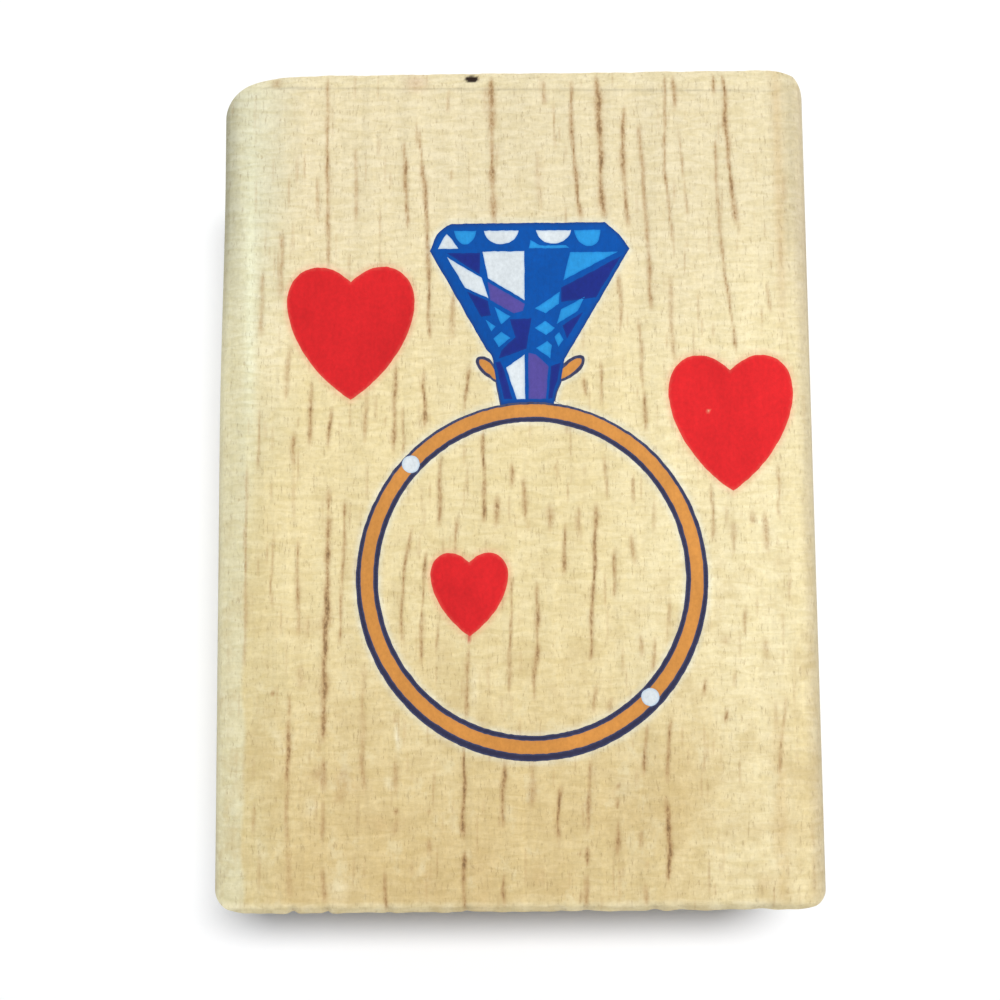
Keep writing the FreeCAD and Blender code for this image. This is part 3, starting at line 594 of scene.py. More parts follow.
# ---- outlines of the printed films ----
def plan_loops(node):
    """Closed outlines of a node's upper face, in plan, the wood on their right."""
    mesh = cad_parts[node].data
    top = max(v.co.z for v in mesh.vertices)
    key = [(round(v.co.x / MM, 3), round(v.co.y / MM, 3)) for v in mesh.vertices]
    edges = {}
    for face in mesh.polygons:
        if face.normal.z > 0.5 and min(mesh.vertices[i].co.z for i in face.vertices) > top - 0.3 * MM:
            corners = [key[i] for i in face.vertices]
            for a, b in zip(corners, corners[1:] + corners[:1]):
                if (b, a) in edges:
                    edges.pop((b, a))
                elif a != b:
                    edges[(a, b)] = True
    following = {}
    for a, b in edges:
        following.setdefault(a, []).append(b)
    loops = []
    while following:
        start = min(following)
        loop = [start]
        point = following[start].pop()
        if not following[start]:
            following.pop(start)
        while point != start:
            loop.append(point)
            nexts = following[point]
            point_next = nexts.pop()
            if not nexts:
                following.pop(point)
            point = point_next
        loops.append(np.array(loop))
    return [loop for loop in loops if abs(loop_area(loop)) > 1e-4]


def loop_area(loop):
    x, y = loop[:, 0], loop[:, 1]
    return 0.5 * np.sum(x * np.roll(y, -1) - np.roll(x, -1) * y)


def resample(loop, pitch):
    """Evenly spaced points on a loop: its corners are kept, the stretches between them are smooth."""
    before = loop - np.roll(loop, 1, axis=0)
    after = np.roll(loop, -1, axis=0) - loop
    cross = before[:, 0] * after[:, 1] - before[:, 1] * after[:, 0]
    turn = np.abs(np.arctan2(cross, (before * after).sum(1)))
    gap_in, gap_out = np.linalg.norm(before, axis=1), np.linalg.norm(after, axis=1)
    uneven = np.maximum(gap_in, gap_out) > 2.2 * np.minimum(gap_in, gap_out)
    corner = (turn > math.radians(24)) | uneven
    count = len(loop)
    points = []
    for i in range(count):
        p1, p2 = loop[i], loop[(i + 1) % count]
        p0 = p1 if corner[i] else loop[i - 1]
        p3 = p2 if corner[(i + 1) % count] else loop[(i + 2) % count]
        gap = np.linalg.norm(p2 - p1)
        steps = max(1, round(gap / pitch))
        lead = (p2 - p0) * gap / max(np.linalg.norm(p2 - p1) + np.linalg.norm(p1 - p0), 1e-9)
        trail = (p3 - p1) * gap / max(np.linalg.norm(p2 - p1) + np.linalg.norm(p3 - p2), 1e-9)
        for t in np.arange(steps) / steps:
            points.append(
                (2 * t**3 - 3 * t**2 + 1) * p1
                + (t**3 - 2 * t**2 + t) * lead
                + (3 * t**2 - 2 * t**3) * p2
                + (t**3 - t**2) * trail
            )
    return np.array(points)


def settled(loop, node):
    """A loop as the print lies on this block: its stem, leaves and table a little narrower than planned."""
    x, y = loop[:, 0], loop[:, 1]
    outlined = node in ("ink_outline", "ink_gold_band")
    if node == "ink_red_hearts" or (y.mean() < GEM_FOOT and not outlined):
        return loop
    leaf_level = smooth_step(7.0, 8.4, y)
    lower_gem = np.clip((19.0 - y) / 9.0, 0, 1)
    nudge = FOOT_NUDGE + (RIGHT_LEAF_NUDGE - FOOT_NUDGE) * leaf_level
    right = np.clip((x - 2.7) / 1.2, 0, 1) * nudge * lower_gem
    left = np.clip((-1.7 - x) / 0.7, 0, 1) * LEFT_LEAF_NUDGE
    left = left * leaf_level * (1 - smooth_step(10.4, 11.0, y))
    if outlined:
        ring_low, ring_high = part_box("ink_outline")
        half = (ring_high.x - ring_low.x) / 2 / MM
        tall = RING_TALLER * half
        across = (x - ring_low.x / MM - half) / half
        along = (y - ring_low.y / MM - tall) / tall
        right = right * np.clip((np.hypot(across, along) - 1) * half / 0.25, 0, 1)
    ends = np.clip((x - 6.9) / 0.5, 0, 1) + np.clip((-5.2 - x) / 0.5, 0, 1)
    table = TABLE_NUDGE * ends * smooth_step(19.4, 21.3, y)
    return np.stack([x + right + left + table, y], 1)


def crept(loop):
    """Shifts a loop's points a little, the same for every ink, as ink creeps along the grain."""
    x, y = loop[:, 0], loop[:, 1]
    shift_x = 0.014 * soft_noise(61, x / 1.6, y / 2.4) + 0.006 * soft_noise(62, x / 0.6, y / 0.9)
    shift_y = 0.018 * soft_noise(63, x / 1.4, y / 2.4) + 0.010 * soft_noise(64, x / 0.5, y / 1.0)
    return loop + np.stack([shift_x, shift_y], 1)


def inside(loops, points):
    """Whether each point is inside the loops, holes counted."""
    found = np.zeros(len(points), bool)
    for loop in loops:
        x1, y1 = loop[:, 0], loop[:, 1]
        x2, y2 = np.roll(x1, -1), np.roll(y1, -1)
        for start in range(0, len(points), 4000):
            px = points[start : start + 4000, 0, None]
            py = points[start : start + 4000, 1, None]
            crosses = (y1 > py) != (y2 > py)
            with np.errstate(divide="ignore", invalid="ignore"):
                at = (x2 - x1) * (py - y1) / (y2 - y1) + x1
            found[start : start + 4000] ^= (crosses & (px < at)).sum(1) % 2 == 1
    return found


def plan_tree(points):
    """Search tree over plan points."""
    tree = KDTree(len(points))
    for index, point in enumerate(points):
        tree.insert((point[0], point[1], 0), index)
    tree.balance()
    return tree


def fill(loops, pitch):
    """Triangles that fill the loops, with points inside them about pitch apart."""
    border = np.concatenate(loops)
    edges = []
    start = 0
    for loop in loops:
        count = len(loop)
        edges += [(start + i, start + (i + 1) % count) for i in range(count)]
        start += count
    low, high = border.min(0), border.max(0)
    steps_x, steps_y = np.arange(low[0], high[0], pitch), np.arange(low[1], high[1], pitch)
    grid_x, grid_y = np.meshgrid(steps_x, steps_y)
    grid_x[1::2] += pitch / 2
    grid = np.stack([grid_x.ravel(), grid_y.ravel()], 1)
    grid = grid[inside(loops, grid)]
    tree = plan_tree(border)
    grid = [p for p in grid if tree.find((p[0], p[1], 0))[2] > 0.55 * pitch]
    for mx, my, radius in FLECKS:
        turns = 2 * math.pi * np.arange(8) / 8
        circle = np.column_stack([np.cos(turns), np.sin(turns)])
        spots = np.concatenate([[(0, 0)], 0.5 * circle, circle]) * radius + (mx, my)
        grid += list(spots[inside(loops, spots)])
    points = [Vector(p) for p in border] + [Vector(p) for p in grid]
    made, _, faces, *_ = delaunay_2d_cdt(points, edges, [], 0, 1e-6)
    made = np.array(made)
    faces = np.array(faces)
    keep = inside(loops, made[faces].mean(1))
    return made, faces[keep]


def solid_sheet(plan, faces, low, high):
    """Closed sheet between two heights given at each plan point."""
    count = len(plan)
    points = np.concatenate([np.column_stack([plan, high]), np.column_stack([plan, low])])
    used = {}
    for a, b, c in faces:
        for edge in ((a, b), (b, c), (c, a)):
            if edge[::-1] in used:
                used.pop(edge[::-1])
            else:
                used[edge] = True
    walls = [(b, a, a + count, b + count) for a, b in used]
    top = [tuple(int(i) for i in f) for f in faces]
    bottom = [tuple(int(i) + count for i in f[::-1]) for f in faces]
    return points, top + bottom + [tuple(int(i) for i in w) for w in walls]


# ---- materials ----
class Shader:
    """A node material with one Principled shader."""

    def __init__(self, name):
        self.material = bpy.data.materials.new(name)
        self.material.use_nodes = True
        self.tree = self.material.node_tree
        self.tree.nodes.clear()
        output = self.tree.nodes.new("ShaderNodeOutputMaterial")
        self.surface = self.tree.nodes.new("ShaderNodeBsdfPrincipled")
        self.tree.links.new(self.surface.outputs["BSDF"], output.inputs["Surface"])
        self.place = self.add("TexCoord").outputs["Object"]

    def add(self, kind, inputs=None, **settings):
        """A node, its settings, and its inputs as sockets or plain values."""
        node = self.tree.nodes.new("ShaderNode" + kind)
        for key, value in settings.items():
            setattr(node, key, value)
        for key, value in (inputs or {}).items():
            self.put(node.inputs[key], value)
        return node

    def put(self, socket, value):
        if isinstance(value, bpy.types.NodeSocket):
            self.tree.links.new(value, socket)
        else:
            socket.default_value = value

    def noise(self, per_mm, detail=4.0, roughness=0.55, distortion=0.0, shift=0.0):
        """Noise about 0.5, with its features per millimetre along x, y and z."""
        scale = tuple(v / MM for v in per_mm)
        place = self.add("Mapping", {"Vector": self.place, "Scale": scale, "Location": (shift,) * 3})
        inputs = {
            "Vector": place.outputs["Vector"],
            "Scale": 1.0,
            "Detail": detail,
            "Roughness": roughness,
            "Distortion": distortion,
        }
        return self.add("TexNoise", inputs).outputs["Fac"]

    def stretch(self, value, low, high, out_low=0.0, out_high=1.0):
        """A value's range turned into another, held at its ends."""
        inputs = {
            "Value": value,
            "From Min": low,
            "From Max": high,
            "To Min": out_low,
            "To Max": out_high,
        }
        return self.add("MapRange", inputs).outputs["Result"]

    def maths(self, operation, a, b=0.0):
        return self.add("Math", {0: a, 1: b}, operation=operation).outputs["Value"]

    def mix(self, factor, a, b, mode="MIX"):
        """Two colours blended by a factor."""
        node = self.add("Mix", data_type="RGBA", blend_type=mode)
        self.put(node.inputs[0], factor)
        self.put(node.inputs[6], a)
        self.put(node.inputs[7], b)
        return node.outputs[2]

    def shade(self, colour, amount):
        """A colour made lighter or darker by a factor about 1."""
        if not isinstance(colour, bpy.types.NodeSocket):
            colour = colour[:3]
        return self.add("VectorMath", {0: colour, 1: amount}, operation="MULTIPLY").outputs["Vector"]

    def bump(self, height, depth_mm, strength=1.0):
        """Fine relief from a height of 0 to 1."""
        inputs = {"Height": height, "Distance": depth_mm * MM, "Strength": strength}
        self.put(self.surface.inputs["Normal"], self.add("Bump", inputs).outputs["Normal"])

    def value(self, name):
        return self.add("Attribute", attribute_name=name).outputs["Fac"]

    def colour(self, name):
        return self.add("Attribute", attribute_name=name).outputs["Color"]

    def finish(self, colour, roughness, specular=0.4):
        self.put(self.surface.inputs["Base Color"], colour)
        self.put(self.surface.inputs["Roughness"], roughness)
        self.surface.inputs["Specular IOR Level"].default_value = specular
        return self.material


def rgba(colour, factor=1.0):
    return (*(linear(colour) * factor), 1.0)


def add_grain(shader):
    """Fibres, open pores and the plane's ripple, shared by the bare wood and the ink that lies in it."""
    fibre = shader.noise((2.6, 0.16, 2.6), detail=6.0, roughness=0.62, distortion=0.1)
    pores = shader.noise((6.0, 1.3, 6.0), detail=3.0, roughness=0.65, shift=7.3)
    ripple = shader.noise((0.5, 1.9, 0.5), detail=4.0, roughness=0.6, distortion=0.6, shift=3.1)
    return fibre, shader.stretch(pores, 0.6, 0.74), ripple


def wood_material():
    shader = Shader("bare_wood")
    fibre, pores, ripple = add_grain(shader)
    band = shader.noise((0.5, 0.015, 0.5), detail=3.0, shift=1.7)
    cloud = shader.noise((0.55, 0.4, 0.55), detail=6.0, roughness=0.62, shift=5.5)
    speck = shader.noise((3.2, 2.2, 3.2), detail=4.0, roughness=0.7, shift=4.1)
    beads = shader.noise((4.2, 2.4, 4.2), detail=4.0, roughness=0.65, shift=9.1)
    streak = shader.value("streak")
    facing = shader.add("SeparateXYZ", {0: shader.add("NewGeometry").outputs["Normal"]})
    on_top = shader.stretch(facing.outputs["Z"], 0.35, 0.8)
    on_end = shader.stretch(shader.maths("ABSOLUTE", facing.outputs["Y"]), 0.75, 0.95)

    tone = shader.colour("tone")
    tone = shader.shade(tone, shader.stretch(fibre, 0.3, 0.7, 0.955, 1.045))
    tone = shader.shade(tone, shader.stretch(band, 0.3, 0.7, 0.96, 1.04))
    tone = shader.shade(tone, shader.stretch(speck, 0.3, 0.7, 0.91, 1.09))
    # the planer's ripple painted in: painted shade in its troughs, painted highlight on its crests
    planed = shader.mix(shader.stretch(ripple, 0.36, 0.64), RIPPLE_TROUGH_SHADE, RIPPLE_CREST_HIGHLIGHT)
    tone = shader.mix(on_top, tone, planed, "MULTIPLY")
    long_grain = shader.noise((1.3, 0.05, 1.3), detail=5.0, roughness=0.65, distortion=0.2, shift=6.6)
    on_side = shader.maths("SUBTRACT", 1.0, on_top)
    brown = shader.maths("MULTIPLY", on_side, shader.stretch(long_grain, 0.54, 0.72, 0.0, 0.75))
    tone = shader.mix(brown, tone, rgba(STREAK_TONE))
    rough = shader.value("rough")
    dulled = shader.maths("MULTIPLY", rough, shader.stretch(cloud, 0.48, 0.66, 0.0, 0.4))
    tone = shader.mix(dulled, tone, rgba(ROUGH_TONE))
    bleached = shader.maths("MULTIPLY", rough, shader.stretch(cloud, 0.44, 0.32, 0.0, 0.35))
    tone = shader.mix(bleached, tone, rgba(BLEACHED_TONE))
    tone = shader.mix(shader.maths("MULTIPLY", pores, 0.3), tone, rgba(STREAK_TONE))

    lively = shader.maths("MULTIPLY", streak, shader.stretch(beads, 0.36, 0.64, 0.62, 1.2))
    tone = shader.mix(shader.stretch(lively, 0.03, 0.75, 0.0, 0.84), tone, rgba(STREAK_TONE))
    tone = shader.mix(shader.stretch(lively, 0.62, 1.15, 0.0, 0.65), tone, rgba(PORE_TONE))
    tone = shader.mix(shader.value("knot"), tone, rgba(KNOT_TONE))

    tubes = shader.noise((3.4, 0.3, 3.4), detail=4.0, roughness=0.7, shift=2.2)
    sawn = shader.mix(shader.stretch(tubes, 0.35, 0.7), rgba(SAWN_DARK), rgba(SAWN_PALE))
    pith = shader.add("Mapping", {"Vector": shader.place, "Scale": (1 / MM,) * 3, "Location": PITH})
    inputs = {"Vector": pith.outputs["Vector"], "Scale": RING_SCALE, "Distortion": 2.5, "Detail": 3.0}
    waves = shader.add("TexWave", inputs, wave_type="RINGS", rings_direction="Y")
    rings = waves.outputs["Fac"]
    sawn = shader.mix(shader.stretch(rings, 0.55, 1.0, 0.0, 0.45), sawn, rgba(SAWN_RING))
    tone = shader.mix(shader.maths("MULTIPLY", on_end, 0.8), tone, sawn)

    height = shader.maths("MULTIPLY", fibre, 0.25)
    rippled = shader.maths("MULTIPLY", shader.maths("MULTIPLY", ripple, 0.9), on_top)
    height = shader.maths("ADD", height, rippled)
    height = shader.maths("ADD", height, shader.maths("MULTIPLY", speck, 0.25))
    height = shader.maths("SUBTRACT", height, shader.maths("MULTIPLY", pores, 0.5))
    height = shader.maths("SUBTRACT", height, lively)
    shader.bump(height, 0.07, 0.85)
    roughness = shader.stretch(fibre, 0.3, 0.7, 0.56, 0.7)
    return shader.finish(tone, roughness, 0.15)


def ink_material(name, ink):
    """Matt ink soaked into the wood: another tone at its rim, a little uneven, painted light making it
    brighter towards the right, the grain just showing.
    """
    shader = Shader("printed_" + name.removeprefix("ink_"))
    fibre, pores, ripple = add_grain(shader)
    cloud = shader.noise((0.3, 0.2, 0.3), detail=5.0, roughness=0.6, shift=4.4)
    speck = shader.noise((3.4, 2.6, 3.4), detail=4.0, roughness=0.7, shift=8.2)
    tone = shader.shade(rgba(ink.tone), shader.stretch(fibre, 0.3, 0.7, 0.97, 1.03))
    # painted light: every ink made brighter towards the right, where the light falls
    across = shader.add("SeparateXYZ", {0: shader.place}).outputs["X"]
    tone = shader.shade(tone, shader.stretch(across, -15 * MM, 20 * MM, 0.93, 1.05))
    tone = shader.shade(tone, shader.stretch(cloud, 0.35, 0.65, 0.92, 1.07))
    tone = shader.shade(tone, shader.stretch(speck, 0.3, 0.7, 0.9, 1.1))
    tone = shader.mix(shader.maths("MULTIPLY", pores, 0.12), tone, rgba(ink.tone, 0.6))
    tone = shader.mix(shader.value("rim"), tone, rgba(ink.rim_tone))
    fleck = shader.maths("MULTIPLY", shader.value("fleck"), 0.5)
    tone = shader.mix(fleck, tone, rgba(WOOD_MIDDLE))
    height = shader.maths("SUBTRACT", fibre, shader.maths("MULTIPLY", pores, 0.7))
    height = shader.maths("ADD", height, shader.maths("MULTIPLY", ripple, 0.6))
    shader.bump(height, 0.02, 0.6)
    return shader.finish(tone, shader.stretch(speck, 0.3, 0.7, 0.6, 0.7), 0.05)


def foam_material():
    """Closed-cell foam with a knife-cut edge."""
    shader = Shader("cushion_foam")
    place = shader.add("Mapping", {"Vector": shader.place, "Scale": (2.6 / MM, 2.6 / MM, 3.4 / MM)})
    cells = shader.add("TexVoronoi", {"Vector": place.outputs["Vector"], "Scale": 1.0})
    rim = shader.stretch(cells.outputs["Distance"], 0.15, 0.6)
    mottle = shader.noise((0.5, 0.5, 0.5), detail=4.0)
    tone = shader.mix(rim, rgba(FOAM_WALL), rgba(FOAM_CELL))
    tone = shader.shade(tone, shader.stretch(mottle, 0.3, 0.7, 0.92, 1.06))
    shader.bump(rim, -0.08, 0.7)
    return shader.finish(tone, 0.85, 0.2)


def film_material():
    """Amber double-sided adhesive film."""
    shader = Shader("adhesive_film")
    streaks = shader.noise((0.4, 0.05, 0.4), detail=4.0)
    dust = shader.noise((3.0, 3.0, 3.0), detail=2.0, shift=2.0)
    tone = shader.mix(shader.stretch(streaks, 0.35, 0.65), rgba(FILM_DARK), rgba(FILM_PALE))
    tone = shader.shade(tone, shader.stretch(dust, 0.3, 0.7, 0.95, 1.04))
    shader.bump(streaks, 0.02, 0.3)
    shader.surface.inputs["Transmission Weight"].default_value = 0.25
    return shader.finish(tone, 0.3, 0.5)


def rubber_material():
    """Moulded red stamp rubber, its printing faces stained by old ink."""
    shader = Shader("stamp_rubber")
    mottle = shader.noise((0.4, 0.4, 0.4), detail=5.0)
    grit = shader.noise((7.0, 7.0, 7.0), detail=3.0, shift=3.0)
    tone = shader.mix(shader.stretch(mottle, 0.3, 0.7), rgba(RUBBER_DARK), rgba(RUBBER_PALE))
    tone = shader.shade(tone, shader.stretch(grit, 0.3, 0.7, 0.92, 1.06))
    height = shader.add("SeparateXYZ", {0: shader.place}).outputs["Z"]
    printing = shader.stretch(height, 0.35 * MM, 0.02 * MM)
    worn = shader.noise((0.8, 0.8, 0.8), detail=5.0, roughness=0.7, shift=6.0)
    stain = shader.maths("MULTIPLY", printing, shader.stretch(worn, 0.35, 0.62, 0.35, 0.9))
    tone = shader.mix(stain, tone, rgba(RUBBER_STAIN))
    shader.bump(grit, 0.02, 0.4)
    return shader.finish(tone, shader.stretch(mottle, 0.3, 0.7, 0.42, 0.58), 0.45)


def floor_material():
    shader = Shader("pale_floor")
    cloud = shader.noise((0.01, 0.01, 0.01), detail=3.0)
    tone = shader.mix(shader.stretch(cloud, 0.3, 0.7), FLOOR_DARK, FLOOR_PALE)
    return shader.finish(tone, 0.8, 0.1)


# ---- pieces ----
def toward(tone, share, colour):
    """Tones moved by a share of the way to an sRGB colour."""
    return tone + share[:, None] * (linear(colour) - tone)


def tone_field(x, y, loops_by_ink):
    """Bare wood's colour in linear light: paler far end, tan near end, painted light and shade on the rolled
    edges and bevels, ink creeping out of the print.
    """
    near = smooth_step(6, 32, -y + 2.0 * soft_noise(71, x / 18, y / 26)) * (1 - 0.5 * smooth_step(12, 18, x))
    near *= 1 - 0.3 * smooth_step(27, 32, -y) * smooth_step(-6, 5, x)
    far = smooth_step(4, 26, y + 2.0 * soft_noise(72, x / 20, y / 26))
    tone = np.zeros((len(x), 3)) + linear(WOOD_MIDDLE)
    tone = toward(tone, smooth_step(4, 15, x), WOOD_MIDDLE_RIGHT)
    tone = toward(tone, far, WOOD_FAR)
    tone = toward(tone, near, WOOD_NEAR)

    left = smooth_step(17.5, 23.0, -x + 0.8 * soft_noise(73, x / 30, y / 18))
    grey = smooth_step(-6, 24, y)
    left_tone = linear(WOOD_LEFT_NEAR) + grey[:, None] * (linear(WOOD_LEFT) - linear(WOOD_LEFT_NEAR))
    tone += (0.75 * left)[:, None] * (left_tone - tone)
    # painted highlight: a pale stripe where the left edge starts to roll
    tone = toward(tone, 0.8 * bell(x, -22.2, 0.6) * bell(y, 14, 13), PAINTED_HIGHLIGHT_STRIPE)
    right = smooth_step(14.0, 20.5, x) * (1 - smooth_step(21.6, 22.6, x))
    tone = toward(tone, 0.7 * right * (1 - 0.8 * far) * (1 - 0.6 * near), WOOD_RIGHT)
    tone = toward(tone, 0.8 * bell(x, 22.5, 0.45) * smooth_step(8, 20, y), FAR_RIGHT_STRIPE)
    strip = smooth_step(22.2, 22.7, -x + 0.15 * soft_noise(76, y / 9)) * (1 - 0.6 * grey)
    tone = toward(tone, 0.7 * strip, STRIP)

    # painted light and shade on the rolled edges: a painted highlight along the near left, painted shade
    # along the far left and the right
    tone *= (1 + 0.2 * smooth_step(23.5, 24.4, -x) * (1 - smooth_step(10, 24, y)))[:, None]
    tone *= (1 - 0.2 * smooth_step(22.8, 23.8, -x) * smooth_step(12, 24, y))[:, None]
    tone *= (1 - 0.2 * smooth_step(23.8, 24.4, -x) * smooth_step(4, 24, y))[:, None]
    tone = toward(tone, 0.35 * smooth_step(23.2, 24.3, x) * (1 - 0.5 * smooth_step(20, 28, y)), RIGHT_ROLL_SHADE)
    tone = toward(tone, 0.6 * bell(x, 21.2, 0.7) * smooth_step(14, 24, -y), NEAR_RIGHT_STRIPE)
    tone = toward(tone, 0.4 * bell(x, -8.2, 0.9) * bell(y, 34.4, 0.8), PINK_MARK)
    # painted shade on the right edge's shoulder, where it starts to roll, towards the far end
    shoulder = smooth_step(22.6, 23.2, x) * (1 - smooth_step(23.7, 24.3, x))
    tone *= (1 - 0.12 * shoulder * smooth_step(14, 24, y))[:, None]
    # painted highlight along the near and far bevels
    bevel = np.maximum(smooth_step(HALF_Y - 1.1, HALF_Y - 0.6, -y), 0.5 * smooth_step(33.4, 34.2, y))
    tone = toward(tone, 0.55 * bevel, BEVEL_HIGHLIGHT)
    saw_line = bell(y + 0.018 * x, 33.5, 0.1) * smooth_step(-24, -20, -np.abs(x))
    tone *= (1 - 0.2 * saw_line * (1 + 0.3 * soft_noise(77, x / 6)))[:, None]

    tone = toward(tone, np.clip(stain_field(x, y), 0, 0.6), STAIN_TONE)
    tone = toward(tone, np.clip(scuff_field(x, y), 0, 1), SCUFF_TONE)
    for ink, halo, amount in (
        ("ink_red_hearts", HEART_HALO, 0.45),
        ("ink_outline", LINE_HALO, 0.5),
        ("ink_royal_blue", LINE_HALO, 0.55),
    ):
        gap = distance_to(loops_by_ink[ink], x, y)
        tone = toward(tone, amount * bell(gap, 0, HALO_WIDTH), halo)
    bleed = bell(x, -3.95, 0.12) * smooth_step(-13.5, -13.2, y) * smooth_step(12.6, 12.8, -y)
    return toward(tone, bleed, BLEED)


def distance_to(loops, x, y):
    """Distance in plan from each point to the nearest outline."""
    border = np.concatenate(loops)
    tree = plan_tree(border)
    low, high = border.min(0) - 2, border.max(0) + 2
    found = np.full(len(x), 9.0)
    near = (x > low[0]) & (x < high[0]) & (y > low[1]) & (y < high[1])
    found[near] = [tree.find((px, py, 0))[2] for px, py in zip(x[near], y[near])]
    return found


def make_block(loops_by_ink):
    """The wood: a lattice over the top, rings down the sides, and a flat underside."""
    columns, rows = lattice_lines()
    grid_x, grid_y = np.meshgrid(columns, rows)
    width, depth = len(columns), len(rows)
    x, y = plan_point(grid_x.ravel(), grid_y.ravel())
    z = wood_height(x, y)
    faces = []
    for j in range(depth - 1):
        for i in range(width - 1):
            a = j * width + i
            faces.append((a, a + 1, a + 1 + width, a + width))

    rim = list(range(width))
    rim += [j * width + width - 1 for j in range(1, depth)]
    rim += [(depth - 1) * width + i for i in range(width - 2, -1, -1)]
    rim += [j * width for j in range(depth - 2, 0, -1)]
    around = len(rim)
    points = [np.column_stack([x, y, z])]
    rim_x, rim_y = x[rim], y[rim]
    above = rim
    start = len(x)
    for level in wall_levels():
        reach = wall_reach(level)
        ring_x = np.clip(rim_x, -reach, reach)
        points.append(np.column_stack([ring_x, rim_y, np.full(around, level)]))
        ring = list(range(start, start + around))
        for k in range(around):
            n = (k + 1) % around
            faces.append((above[n], above[k], ring[k], ring[n]))
        above = ring
        start += around
    faces.append(tuple(reversed(above)))
    points = np.concatenate(points)

    piece = new_piece("wood_block_grained", points, faces, "wood_block", wood_material(), 32.0)
    on_top = np.clip((points[:, 2] - (TOP_Z - 2.6)) / 0.6, 0, 1)
    px, py = points[:, 0], points[:, 1]
    add_values(piece, "streak", np.maximum(streak_field(px, py), dash_field(px, py)) * on_top)
    add_values(piece, "knot", knot_field(px, py) * on_top)
    add_values(piece, "rough", smooth_step(-14, 22, -py + 3 * soft_noise(75, px / 16, py / 16)) * on_top)
    add_colours(piece, "tone", tone_field(px, py, loops_by_ink))
    return piece


def make_ink(node, loops):
    """One printed colour as a thin film that follows the wood."""
    ink = INKS[node]
    loops = [crept(loop) for loop in loops]
    plan, faces = fill(loops, ink.pitch)
    wood = wood_height(plan[:, 0], plan[:, 1])
    high = np.minimum(wood + ink.lift, INK_TOP)
    points, faces = solid_sheet(plan, faces, wood - FILM_FOOT, high)
    material = ink_material(node, ink)
    piece = new_piece(node.replace("ink_", "print_"), points, faces, node, material, 60.0)
    px, py = points[:, 0], points[:, 1]
    rim = ink.rim_share * bell(distance_to(loops, px, py), 0, ink.rim_width)
    fleck = np.zeros_like(px)
    for mx, my, radius in FLECKS:
        fleck = np.maximum(fleck, np.exp(-(((px - mx) ** 2 + (py - my) ** 2) / radius**2) ** 2))
    add_values(piece, "rim", rim)
    add_values(piece, "fleck", fleck)
    return piece


def make_cushion():
    """The foam pad: a die-cut block whose sides give a little between its two skins."""
    low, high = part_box("cushion")
    bottom, top = low.z / MM, high.z / MM
    loop = resample(plan_loops("cushion")[0], 0.45)
    tangent = np.roll(loop, -1, axis=0) - np.roll(loop, 1, axis=0)
    inward = np.stack([-tangent[:, 1], tangent[:, 0]], 1)
    inward /= np.linalg.norm(inward, axis=1, keepdims=True)
    if loop_area(loop) < 0:
        inward = -inward
    levels = np.linspace(0, 1, 13)
    walls = []
    for t in levels:
        pinch = FOAM_PINCH * math.sin(math.pi * t) ** 0.7
        grit = soft_noise(81, loop[:, 0] / 0.9, loop[:, 1] / 0.9, np.full(len(loop), t * 3))
        rough = np.clip(FOAM_ROUGH * (1 + grit), 0, 0.2)
        walls.append(loop + inward * (FOAM_INSET + pinch + rough)[:, None])
    plan, faces = fill([walls[-1]], 1.2)
    rim_tree = plan_tree(plan)
    rim = [rim_tree.find((p[0], p[1], 0))[1] for p in walls[-1]]
    count, around = len(plan), len(loop)
    cap_low = plan.copy()
    cap_low[rim] = walls[0]
    points = [np.column_stack([plan, np.full(count, top)])]
    for t, wall in zip(levels[-2:0:-1], walls[-2:0:-1]):
        points.append(np.column_stack([wall, np.full(around, bottom + (top - bottom) * t)]))
    points.append(np.column_stack([cap_low, np.full(count, bottom)]))
    mesh_faces = [tuple(int(i) for i in f) for f in faces]
    above = rim
    last = count + (len(levels) - 2) * around
    rings = [list(range(start, start + around)) for start in range(count, last, around)]
    rings.append([last + i for i in rim])
    for ring in rings:
        for k in range(around):
            n = (k + 1) % around
            mesh_faces.append((above[n], above[k], ring[k], ring[n]))
        above = ring
    mesh_faces += [tuple(int(i) + last for i in f[::-1]) for f in faces]
    points = np.concatenate(points)
    piece = new_piece("cushion_foam_pad", points, mesh_faces, "cushion", foam_material(), 50.0)
    return piece


def make_die():
    """The rubber die with the slightly rounded edges of a moulding."""
    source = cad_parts["rubber_die"]
    mesh = source.data.copy()
    mesh.name = "rubber_die_moulded"
    shape = bmesh.new()
    shape.from_mesh(mesh)
    bmesh.ops.remove_doubles(shape, verts=shape.verts, dist=0.002 * MM)
    bmesh.ops.dissolve_limit(
        shape,
        angle_limit=math.radians(0.5),
        use_dissolve_boundaries=False,
        verts=shape.verts,
        edges=shape.edges,
        delimit=set(),
    )
    shape.to_mesh(mesh)
    shape.free()
    mesh.materials.clear()
    mesh.materials.append(rubber_material())
    piece = show("rubber_die_moulded", mesh)
    rounding = piece.modifiers.new("moulded_edges", "BEVEL")
    rounding.width = DIE_ROUNDING * MM
    rounding.segments = 2
    rounding.limit_method = "ANGLE"
    rounding.angle_limit = math.radians(50)
    rounding.use_clamp_overlap = True
    mesh.shade_smooth()
    mesh.set_sharp_from_angle(angle=math.radians(35))
    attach(piece, "root")
    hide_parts("rubber_die")
    return piece


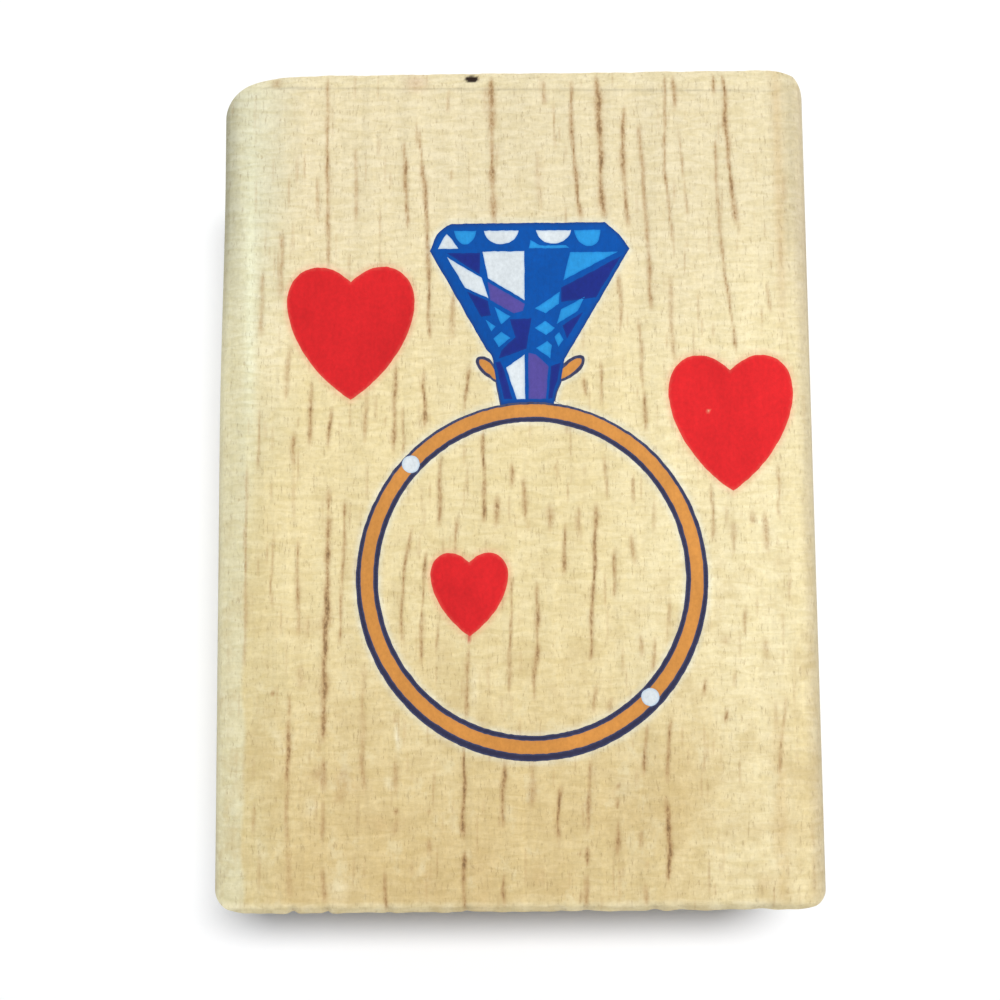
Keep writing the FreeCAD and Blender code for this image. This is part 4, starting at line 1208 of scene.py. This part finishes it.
def make_floor():
    """A round plain floor, its middle under the stamp."""
    rings, spokes = FLOOR_RINGS, FLOOR_SPOKES
    points = [(0.0, 0.0, FLOOR_Z)]
    faces = []
    for ring in range(1, rings + 1):
        for spoke in range(spokes):
            turn = 2 * math.pi * spoke / spokes
            reach = FLOOR_RADIUS * (ring / rings) ** 2
            points.append((reach * math.cos(turn), reach * math.sin(turn), FLOOR_Z))
    for spoke in range(spokes):
        after = (spoke + 1) % spokes
        faces.append((0, 1 + spoke, 1 + after))
        for ring in range(rings - 1):
            inner, outer = 1 + ring * spokes, 1 + (ring + 1) * spokes
            faces.append((inner + spoke, outer + spoke, outer + after, inner + after))
    mesh = bpy.data.meshes.new("floor")
    mesh.from_pydata(points, [], faces)
    mesh.materials.append(floor_material())
    floor = show("floor", mesh)


# ---- light and camera ----
def make_light():
    """A soft key from the far right, well above, and an even white surround."""
    world = bpy.data.worlds.new("studio")
    world.use_nodes = True
    background = world.node_tree.nodes["Background"]
    background.inputs["Color"].default_value = SKY_TONE
    background.inputs["Strength"].default_value = SKY_STRENGTH
    bpy.context.scene.world = world
    key = bpy.data.lights.new("key", "AREA")
    key.shape = "ELLIPSE"
    key.size = KEY_WIDE
    key.size_y = KEY_DEEP
    key.energy = KEY_POWER
    lamp = show("key", key)
    aim = Vector((0, 0, 0.5 * TOP_Z * MM))
    beam = Vector(KEY_FROM).normalized()
    wide = Vector((0, 1, 0)).cross(beam).normalized()
    turn = Matrix((wide, beam.cross(wide), beam)).transposed()
    lamp.matrix_world = Matrix.Translation(aim + beam * KEY_AWAY) @ turn.to_4x4()


def make_camera():
    """Almost straight above the block's near half, the picture upright."""
    elevation, azimuth = math.radians(CAMERA_ELEVATION), math.radians(CAMERA_AZIMUTH)
    roll = math.radians(CAMERA_ROLL)
    level = math.cos(elevation)
    back = Vector((math.sin(azimuth) * level, -math.cos(azimuth) * level, math.sin(elevation)))
    right = Vector((0, 0, 1)).cross(back).normalized()
    up = back.cross(right)
    turned_right = right * math.cos(roll) + up * math.sin(roll)
    turned_up = up * math.cos(roll) - right * math.sin(roll)
    data = bpy.data.cameras.new("camera")
    data.lens = CAMERA_LENS
    data.sensor_width = CAMERA_SENSOR
    data.clip_start = 0.005
    data.clip_end = 20.0
    camera = show("camera", data)
    turn = Matrix((turned_right, turned_up, back)).transposed()
    place = Vector(CAMERA_AIM) * MM + back * (CAMERA_AWAY * MM)
    camera.matrix_world = Matrix.Translation(place) @ turn.to_4x4()
    bpy.context.scene.camera = camera


# ---- the scene ----
def main():
    loops = {}
    for node in INKS:
        loops[node] = [settled(resample(loop, OUTLINE_PITCH), node) for loop in plan_loops(node)]
    # the royal blue is whole under the facets, so its holes are left out
    loops["ink_royal_blue"] = [loop for loop in loops["ink_royal_blue"] if loop_area(loop) > 0]
    make_block(loops)
    for node in INKS:
        make_ink(node, loops[node])
    make_cushion()
    make_die()
    film = film_material()
    for node in ("block_adhesive", "die_adhesive"):
        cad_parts[node].data.materials.clear()
        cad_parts[node].data.materials.append(film)
    make_floor()
    make_light()
    make_camera()
    bpy.context.scene.view_settings.view_transform = "Standard"


main()
